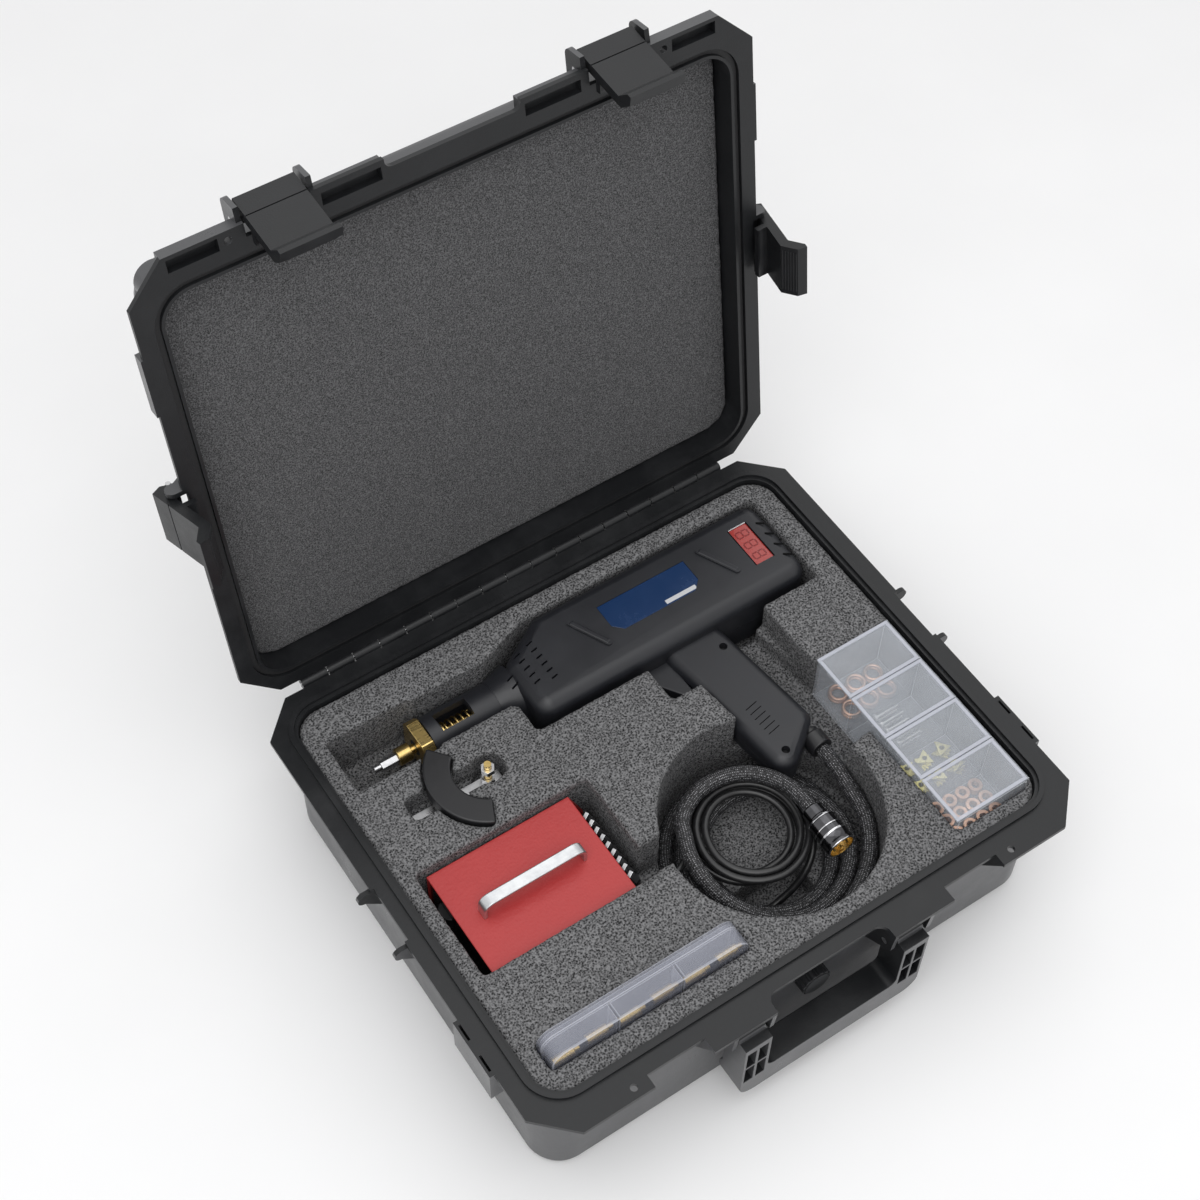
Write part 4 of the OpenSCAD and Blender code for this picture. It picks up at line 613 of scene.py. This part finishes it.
# moulded edges: a merged copy of a solid with its sharp edges rounded, by width and segments
bodyOfNode = {n: body for body, names in frame["record"]["behaviour"]["bodies"].items() for n in names}
slotOfNode = {p["node"]: p["material_slot"] for p in frame["record"]["subparts"]}
mouldedEdges = {
    "case_base": (0.0012, 2), "case_lid": (0.0012, 2), "carry_handle": (0.0022, 3),
    "pressure_valve": (0.0008, 2), "front_latch_left": (0.0013, 3), "front_latch_right": (0.0013, 3),
    "side_latch_left": (0.0013, 3), "side_latch_right": (0.0013, 3), "gun_shell_left": (0.0005, 2),
    "gun_shell_right": (0.0005, 2), "trigger": (0.0014, 3), "power_cover": (0.0009, 3),
    "power_bow": (0.0008, 2), "power_chassis": (0.0004, 2), "power_rocker": (0.0006, 2),
    "earth_pad": (0.0014, 3), "earth_bar": (0.0005, 2), "earth_block": (0.0007, 2),
    "earth_nuts": (0.0004, 2), "nose_collar": (0.0006, 2), "stud_chuck": (0.0005, 2),
    "parts_tray": (0.0009, 2), "tray_lid_1": (0.0012, 2), "tray_lid_2": (0.0012, 2),
    "tray_lid_3": (0.0012, 2), "tray_lid_4": (0.0012, 2), "organiser_body": (0.0008, 2),
    "organiser_lid": (0.0009, 2), "mains_plug": (0.0025, 3), "strain_relief": (0.0008, 2),
    "cord_gland": (0.0008, 2), "washers": (0.0003, 1), "pull_plates": (0.0003, 1),
    "brass_bits": (0.0005, 2), "label_plate": (0.0002, 1), "display_lens": (0.0003, 1),
}
flatAngle = math.radians(0.4)
sharpAngle = math.radians(38)
springAngle = math.radians(60)
faceWeight = 80


def pieceName(nodeName):
    first, *rest = nodeName.split("_")
    return first + "".join(word.capitalize() for word in rest) + "Piece"


def mergedCopy(nodeName, smoothTo):
    bm = mergedSolid(nodeName)
    bmesh.ops.dissolve_limit(bm, angle_limit=flatAngle, verts=bm.verts, edges=bm.edges)
    piece = finishMesh(pieceName(nodeName), bm, finishOfNode[nodeName])
    piece.data.shade_smooth()
    piece.data.set_sharp_from_angle(angle=smoothTo)
    standFor(piece, nodeName, bodyOfNode[nodeName], slotOfNode[nodeName])
    return piece


# the outer side faces of the case, its lid and its handle get a paler copy of the case plastic: painted
# sheen for the light these walls catch, while the rims keep the darker copy
lidFrame = {"hinge": (0, 0.2186, rimHeight), "open": math.radians(98.874), "lean": math.radians(-13)}
lidOutward = (0, math.sin(lidFrame["open"]), math.cos(lidFrame["open"]))
sheenWalls = {"case_base": (0, 0, -1), "carry_handle": (0, 0, -1), "case_lid": lidOutward}
wallStart = 0.0045
wallSlant = 0.5


def paintWallSheen(piece, nodeName):
    piece.data.materials.append(caseWall)
    low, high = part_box(nodeName)
    away = Vector(sheenWalls[nodeName])
    for face in piece.data.polygons:
        depth = (face.center - Vector(lidFrame["hinge"])).dot(away)
        outside = (face.center - (low + high) / 2).dot(face.normal) > 0
        if outside and depth > wallStart and abs(face.normal.dot(away)) < wallSlant:
            face.material_index = 1


def mouldedCopy(nodeName, width, segments):
    piece = mergedCopy(nodeName, sharpAngle)
    bevel = piece.modifiers.new("edgeRound", "BEVEL")
    bevel.width = width
    bevel.segments = segments
    bevel.limit_method = "ANGLE"
    bevel.angle_limit = sharpAngle
    if nodeName in sheenWalls:
        paintWallSheen(piece, nodeName)
    # bevelled edges of frosted boxes take the painted edge highlight
    if finishOfNode[nodeName] in glintOfFinish:
        piece.data.materials.append(glintOfFinish[finishOfNode[nodeName]])
        bevel.material = 1
    even = piece.modifiers.new("evenShade", "WEIGHTED_NORMAL")
    even.keep_sharp = True
    even.weight = faceWeight
    return piece


# finish of every solid
nodeFinish = {
    casePlastic: ["case_base", "case_lid", "carry_handle", "pressure_valve", "front_latch_left",
                  "front_latch_right", "side_latch_left", "side_latch_right"],
    sealRubber: ["rim_seal"],
    gunPlastic: ["gun_shell_left", "gun_shell_right", "trigger"],
    darkPlastic: ["display_module", "trigger_switch", "strain_relief", "rod_bush", "mains_plug",
                  "power_rocker", "cord_gland", "earth_pad"],
    glossPlastic: ["power_chassis"],
    pinResin: ["plug_insert"],
    labelFilm: ["label_plate"],
    redLens: ["display_lens"],
    boardGreen: ["control_board"],
    windingCoil: ["weld_transformer", "power_transformer"],
    redPaint: ["power_cover"],
    steel: ["hinge_pin", "handle_pins", "latch_pins", "stud_chuck", "earth_bar", "earth_nuts",
            "weld_studs"],
    # gun screws darkened: painted shade of their deep holes
    screwShadeSteel: ["gun_screws"],
    brass: ["nose_spring", "earth_block", "electrode_rod", "nose_collar", "plug_pins", "mains_pins",
            "earth_stud", "brass_bits"],
    yellowMetal: ["pull_plates"],
    copper: ["copper_rings", "washers"],
    chrome: ["plug_shell"],
    aluminium: ["power_bow"],
    frostedPlastic: ["parts_tray", "tray_lid_1", "tray_lid_2", "tray_lid_3", "tray_lid_4"],
    milkyPlastic: ["organiser_body", "organiser_lid"],
}
finishOfNode = {name: material for material, names in nodeFinish.items() for name in names}
for name, material in finishOfNode.items():
    if not nodes[name].material_slots:
        nodes[name].data.materials.append(material)
    for holder in nodes[name].material_slots:
        holder.material = material
pieces = {name: mouldedCopy(name, *sizes) for name, sizes in mouldedEdges.items()}
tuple(mainsRoute[0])
print("finishes set,", len(pieces), "pieces with rounded edges")

# nose spring: a merged copy of the solid with its own mesh; on the real gun it shortens towards its rear
# end as the nose is pushed in
springPiece = mergedCopy("nose_spring", springAngle)
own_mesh(springPiece)
print("nose spring set")

# connector: a turned shell on the end of the gun lead
# its profile holds distance and radius in millimetres, with 0 for chrome, 1 for chrome painted black as a
# painted dark reflection and 2 for brass
connector = {"place": (0.078, -0.0841, 0.1035), "sides": 48, "sharpAngle": math.radians(40),
             "profile": [(0, 7.4, 1), (1.2, 8.8, 1), (9.5, 9, 1), (10, 8.4, 1), (12, 8.4, 1), (12, 11.4, 1),
                         (12.8, 12, 0), (14, 12, 0), (14.4, 11.5, 1), (21.6, 11.5, 1), (22, 12.3, 0),
                         (22.9, 12.3, 0), (23.3, 11.8, 1), (27.6, 11.8, 1), (28, 12.5, 0), (29.6, 12.5, 0),
                         (30, 12.2, 1), (36.2, 12.2, 1), (36.6, 12.4, 1), (39.2, 12.4, 1), (39.7, 12.2, 0),
                         (40, 11.9, 0), (40, 11, 0), (39.6, 10.6, 2), (34.2, 10.6, 2)]}


def turnedShell(name, c, materials):
    bm = bmesh.new()
    place = Vector(c["place"])
    angles = [2 * math.pi * k / c["sides"] for k in range(c["sides"])]
    rings = []
    for along, radius, _ in c["profile"]:
        r, y = radius / perMetre, -along / perMetre
        rings.append([bm.verts.new(place + Vector((r * math.cos(a), y, r * math.sin(a)))) for a in angles])
    for i, _, face in bridgeRings(bm, rings):
        face.material_index = c["profile"][i + 1][2]
    closeEnds(bm, rings)
    piece = finishMesh(name, bm, materials[0])
    for extra in materials[1:]:
        piece.data.materials.append(extra)
    piece.data.set_sharp_from_angle(angle=c["sharpAngle"])
    return piece


connectorPiece = turnedShell("connectorShell", connector, [chrome, chromeDarkReflection, brass])
standFor(connectorPiece, "plug_shell", "case", "chrome")
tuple(gunRoute[0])
print("connector turned")


# rows of bars by Geometry Nodes: louvres, slots, rims, ridges, grip lines and latch ribs
def makeRowTree():
    tree = bpy.data.node_groups.new("barRow", "GeometryNodeTree")
    kinds = {"Count": "Int", "Start": "Vector", "Step": "Vector", "Size": "Vector", "Turn": "Vector",
             "Material": "Material"}
    for label, kind in kinds.items():
        tree.interface.new_socket(name=label, in_out="INPUT", socket_type="NodeSocket" + kind)
    tree.interface.new_socket(name="Geometry", in_out="OUTPUT", socket_type="NodeSocketGeometry")
    gin, gout = tree.nodes.new("NodeGroupInput"), tree.nodes.new("NodeGroupOutput")
    count, start, step, size, turn, material = (gin.outputs[label] for label in kinds)
    line = addNode(tree, "GeometryNodeMeshLine", {"Count": count, "Start Location": start, "Offset": step})
    bar = addNode(tree, "GeometryNodeMeshCube", {"Size": size})
    turned = addNode(tree, "FunctionNodeEulerToRotation", {0: turn})
    wires = {"Points": line.outputs[0], "Instance": bar.outputs[0], "Rotation": turned.outputs[0]}
    row = addNode(tree, "GeometryNodeInstanceOnPoints", wires)
    real = addNode(tree, "GeometryNodeRealizeInstances", {0: row.outputs[0]})
    painted = addNode(tree, "GeometryNodeSetMaterial", {"Geometry": real.outputs[0], "Material": material})
    tree.links.new(painted.outputs[0], gout.inputs[0])
    return tree


barRowTree = makeRowTree()
barSegments = 2


def barRow(name, row, body, place=Matrix()):
    piece = bpy.data.objects.new(name, bpy.data.meshes.new(name))
    scene.collection.objects.link(piece)
    rowMod = piece.modifiers.new("barRow", "NODES")
    rowMod.node_group = barRowTree
    for item in barRowTree.interface.items_tree:
        if item.in_out == "INPUT":
            rowMod[item.identifier] = row[item.name]
    made = bpy.data.meshes.new_from_object(piece.evaluated_get(bpy.context.evaluated_depsgraph_get()))
    piece.modifiers.remove(rowMod)
    piece.data = made
    made.transform(place)
    edge = piece.modifiers.new("edgeRound", "BEVEL")
    edge.width = row["edge"]
    edge.segments = barSegments
    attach(piece, body)


# bright louvre slats stand out of the slots in the sloped end of the power unit
slope = {"drop": 34, "reach": 14}
slopeTurn = math.atan2(slope["drop"], slope["reach"])
louvres = {"Count": 9, "Start": (-0.0710, -0.0565, 0.1022), "Step": (0, 0.0076, 0),
           "Size": (0.018, 0.0032, 0.0054), "Turn": (math.radians(-24), slopeTurn, 0), "Material": steel,
           "edge": 0.0002}
barRow("louvreSlats", louvres, "case")

# short slots at the rear end of the gun, drawn as dark bars of painted shade
rearSlots = {"Count": 4, "Start": (0.1975, 0.1490, 0.1296), "Step": (0, -0.0128, 0),
             "Size": (0.0078, 0.0017, 0.0008), "Turn": (0, math.radians(8), math.radians(-29)),
             "Material": slotShade, "edge": 0.0002}
barRow("rearSlots", rearSlots, "case")

# rim round the display window: sides painted dark as painted shade and a bright steel far end as a painted
# highlight
windowSides = {"Count": 2, "Start": (0.1690, 0.1360, 0.1297), "Step": (0.0185, 0, 0),
               "Size": (0.0011, 0.0418, 0.0008), "Turn": (0, 0, 0), "Material": slotShade, "edge": 0.0002}
windowEnd = {"Count": 1, "Start": (0.17825, 0.1567, 0.1297), "Step": (0, 0, 0),
             "Size": (0.0174, 0.0011, 0.0009), "Turn": (0, 0, 0), "Material": steel, "edge": 0.0002}
barRow("windowSides", windowSides, "case")
barRow("windowEnd", windowEnd, "case")

# rounded tops of the two slanting ridges on the gun
ridgeTops = {"Count": 2, "Start": (0.0153, 0.1340, 0.1311), "Step": (0.1291, 0.002, 0),
             "Size": (0.037, 0.0048, 0.0024), "Turn": (0, 0, math.radians(-64)), "Material": gunPlastic,
             "edge": 0.0011}
barRow("ridgeTops", ridgeTops, "case")

# broad rim on top of each lid of the parts box, painted pale with the milky edge highlight
lidRim = {"lids": 4, "across": 0.070, "wide": 0.0028, "thick": 0.0012, "top": 0.1364, "edge": 0.0003}


def rimLid(nodeName, rim):
    low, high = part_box(nodeName)
    wide, across, thick = rim["wide"], rim["across"], rim["thick"]
    long = high.y - low.y
    z = rim["top"] - thick / 2
    ends = {"Start": (low.x + across / 2, low.y + wide / 2, z), "Step": (0, long - wide, 0),
            "Size": (across, wide, thick)}
    sides = {"Start": (low.x + wide / 2, (low.y + high.y) / 2, z), "Step": (across - wide, 0, 0),
             "Size": (wide, long - 2 * wide, thick)}
    for label, row in (("Ends", ends), ("Sides", sides)):
        row.update({"Count": 2, "Turn": (0, 0, 0), "Material": milkyEdgeGlint, "edge": rim["edge"]})
        barRow(pieceName(nodeName) + label, row, bodyOfNode[nodeName])


for k in range(lidRim["lids"]):
    rimLid("tray_lid_%d" % (k + 1), lidRim)

# finger lines across the grip, drawn as dark bars of painted shade in the grooves
gripLines = {"Count": 6, "Start": (0.0912, 0.0141, 0.1129), "Step": (0.0004, -0.00564, 0),
             "Size": (0.0124, 0.0008, 0.0006), "Turn": (0, 0, math.radians(11)), "Material": slotShade,
             "edge": 0.0002}
barRow("gripLines", gripLines, "case")

# finger ribs inside the lip of each latch, from its pin with the lid shut and the turn of its side
latchRibs = {"Count": 6, "Start": (0.0040, -0.0510, 0), "Step": (0.0016, -0.0016, 0),
             "Size": (0.0009, 0.0009, 0.038), "Turn": (0, 0, 0), "Material": casePlastic, "edge": 0.0002}
latchPins = {"latch_fl": ((-0.135, -0.211, 0.144), -90), "latch_fr": ((0.135, -0.211, 0.144), -90),
             "latch_sl": ((-0.255, 0.005, 0.144), 180), "latch_sr": ((0.255, 0.005, 0.144), 0)}


def latchPlace(pin, turn):
    hinge = Matrix.Translation(lidFrame["hinge"])
    opened = hinge @ Matrix.Rotation(-lidFrame["open"], 4, "X") @ hinge.inverted()
    return (opened @ Matrix.Translation(pin) @ Matrix.Rotation(math.radians(turn), 4, "Z")
            @ Matrix.Rotation(math.radians(90), 4, "X") @ Matrix.Rotation(lidFrame["lean"], 4, "Z"))


for body, (pin, turn) in latchPins.items():
    barRow(body + "Ribs", latchRibs, body, latchPlace(pin, turn))
print("rows of bars laid")

# display: plain seven-segment digits on the window, all segments alike
digits = {"count": 3, "middle": (0.1783, 0.1360), "height": 0.1290, "tall": 0.0112, "wide": 0.0062,
          "pitch": 0.0122, "stroke": 0.0013, "thick": 0.0002, "gapShare": 0.8}
levelSegments = [(0, 0.5), (0, -0.5), (0, 0)]
uprightSegments = [(0.5, 0.25), (0.5, -0.25), (-0.5, -0.25), (-0.5, 0.25)]


def addSegment(bm, place, size):
    made = bmesh.ops.create_cube(bm, size=1)["verts"]
    bmesh.ops.scale(bm, verts=made, vec=size)
    bmesh.ops.translate(bm, verts=made, vec=place)


def displayDigits(d):
    bm = bmesh.new()
    stroke, thick = d["stroke"], d["thick"]
    levelSize = (stroke, d["wide"] - stroke * d["gapShare"], thick)
    uprightSize = (d["tall"] / 2 - stroke * d["gapShare"], stroke, thick)
    for k in range(d["count"]):
        middle = d["middle"][1] + (k - (d["count"] - 1) / 2) * d["pitch"]
        for segments, size in ((levelSegments, levelSize), (uprightSegments, uprightSize)):
            for across, up in segments:
                place = (d["middle"][0] - up * d["tall"], middle + across * d["wide"], d["height"])
                addSegment(bm, Vector(place), size)
    return finishMesh("displayDigits", bm, darkSegment)


digitPiece = displayDigits(digits)
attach(digitPiece, "case")
print("display digits set")

# floor, background and light
studio = {"floorSize": 30, "floorDrop": 0.0004, "floorColour": (0.92, 0.92, 0.925), "floorSpread": 1.02,
          "fill": 0.58, "aim": (0, 0, 0.15), "keyPower": 42, "keySize": 2.6, "keyPlace": (-0.9, -1.0, 2.6),
          "topPower": 16, "topSize": 2.4, "topPlace": (0.7, 0.6, 2.7)}


def makeWorld(s):
    world = bpy.data.worlds.new("studioWorld")
    world.use_nodes = True
    tree = world.node_tree
    back = tree.nodes["Background"]
    path = tree.nodes.new("ShaderNodeLightPath")
    mirrored = addMath(tree, "MAXIMUM", path.outputs["Is Glossy Ray"], path.outputs["Is Transmission Ray"])
    seen = addMath(tree, "MAXIMUM", path.outputs["Is Camera Ray"], mirrored)
    back.inputs["Color"].default_value = (1, 1, 1, 1)
    tree.links.new(addRange(tree, seen, target=(s["fill"], 1.0)), back.inputs["Strength"])
    scene.world = world


def makeFloor(s):
    bm = bmesh.new()
    bmesh.ops.create_grid(bm, x_segments=2, y_segments=2, size=s["floorSize"] / 2)
    bmesh.ops.translate(bm, verts=bm.verts, vec=(0, 0, -s["floorDrop"]))
    mat, tree, bsdf, vec = newMaterial("paleFloor", Roughness=0.8)
    cloud = addNoise(tree, vec, 6, 3)
    light = tuple(min(1.0, c * s["floorSpread"]) for c in s["floorColour"])
    tone = addRamp(tree, cloud, [(0.3, s["floorColour"]), (0.7, light)])
    tree.links.new(tone, bsdf.inputs["Base Color"])
    finishMesh("studioFloor", bm, mat)


def makeLamp(s, label):
    data = bpy.data.lights.new(label + "Light", "AREA")
    data.energy = s[label + "Power"]
    data.size = s[label + "Size"]
    lamp = bpy.data.objects.new(label + "Light", data)
    scene.collection.objects.link(lamp)
    lamp.location = s[label + "Place"]
    lamp.rotation_euler = (Vector(s["aim"]) - lamp.location).to_track_quat("-Z", "Y").to_euler()


makeWorld(studio)
makeFloor(studio)
makeLamp(studio, "key")
makeLamp(studio, "top")
print("studio lit")
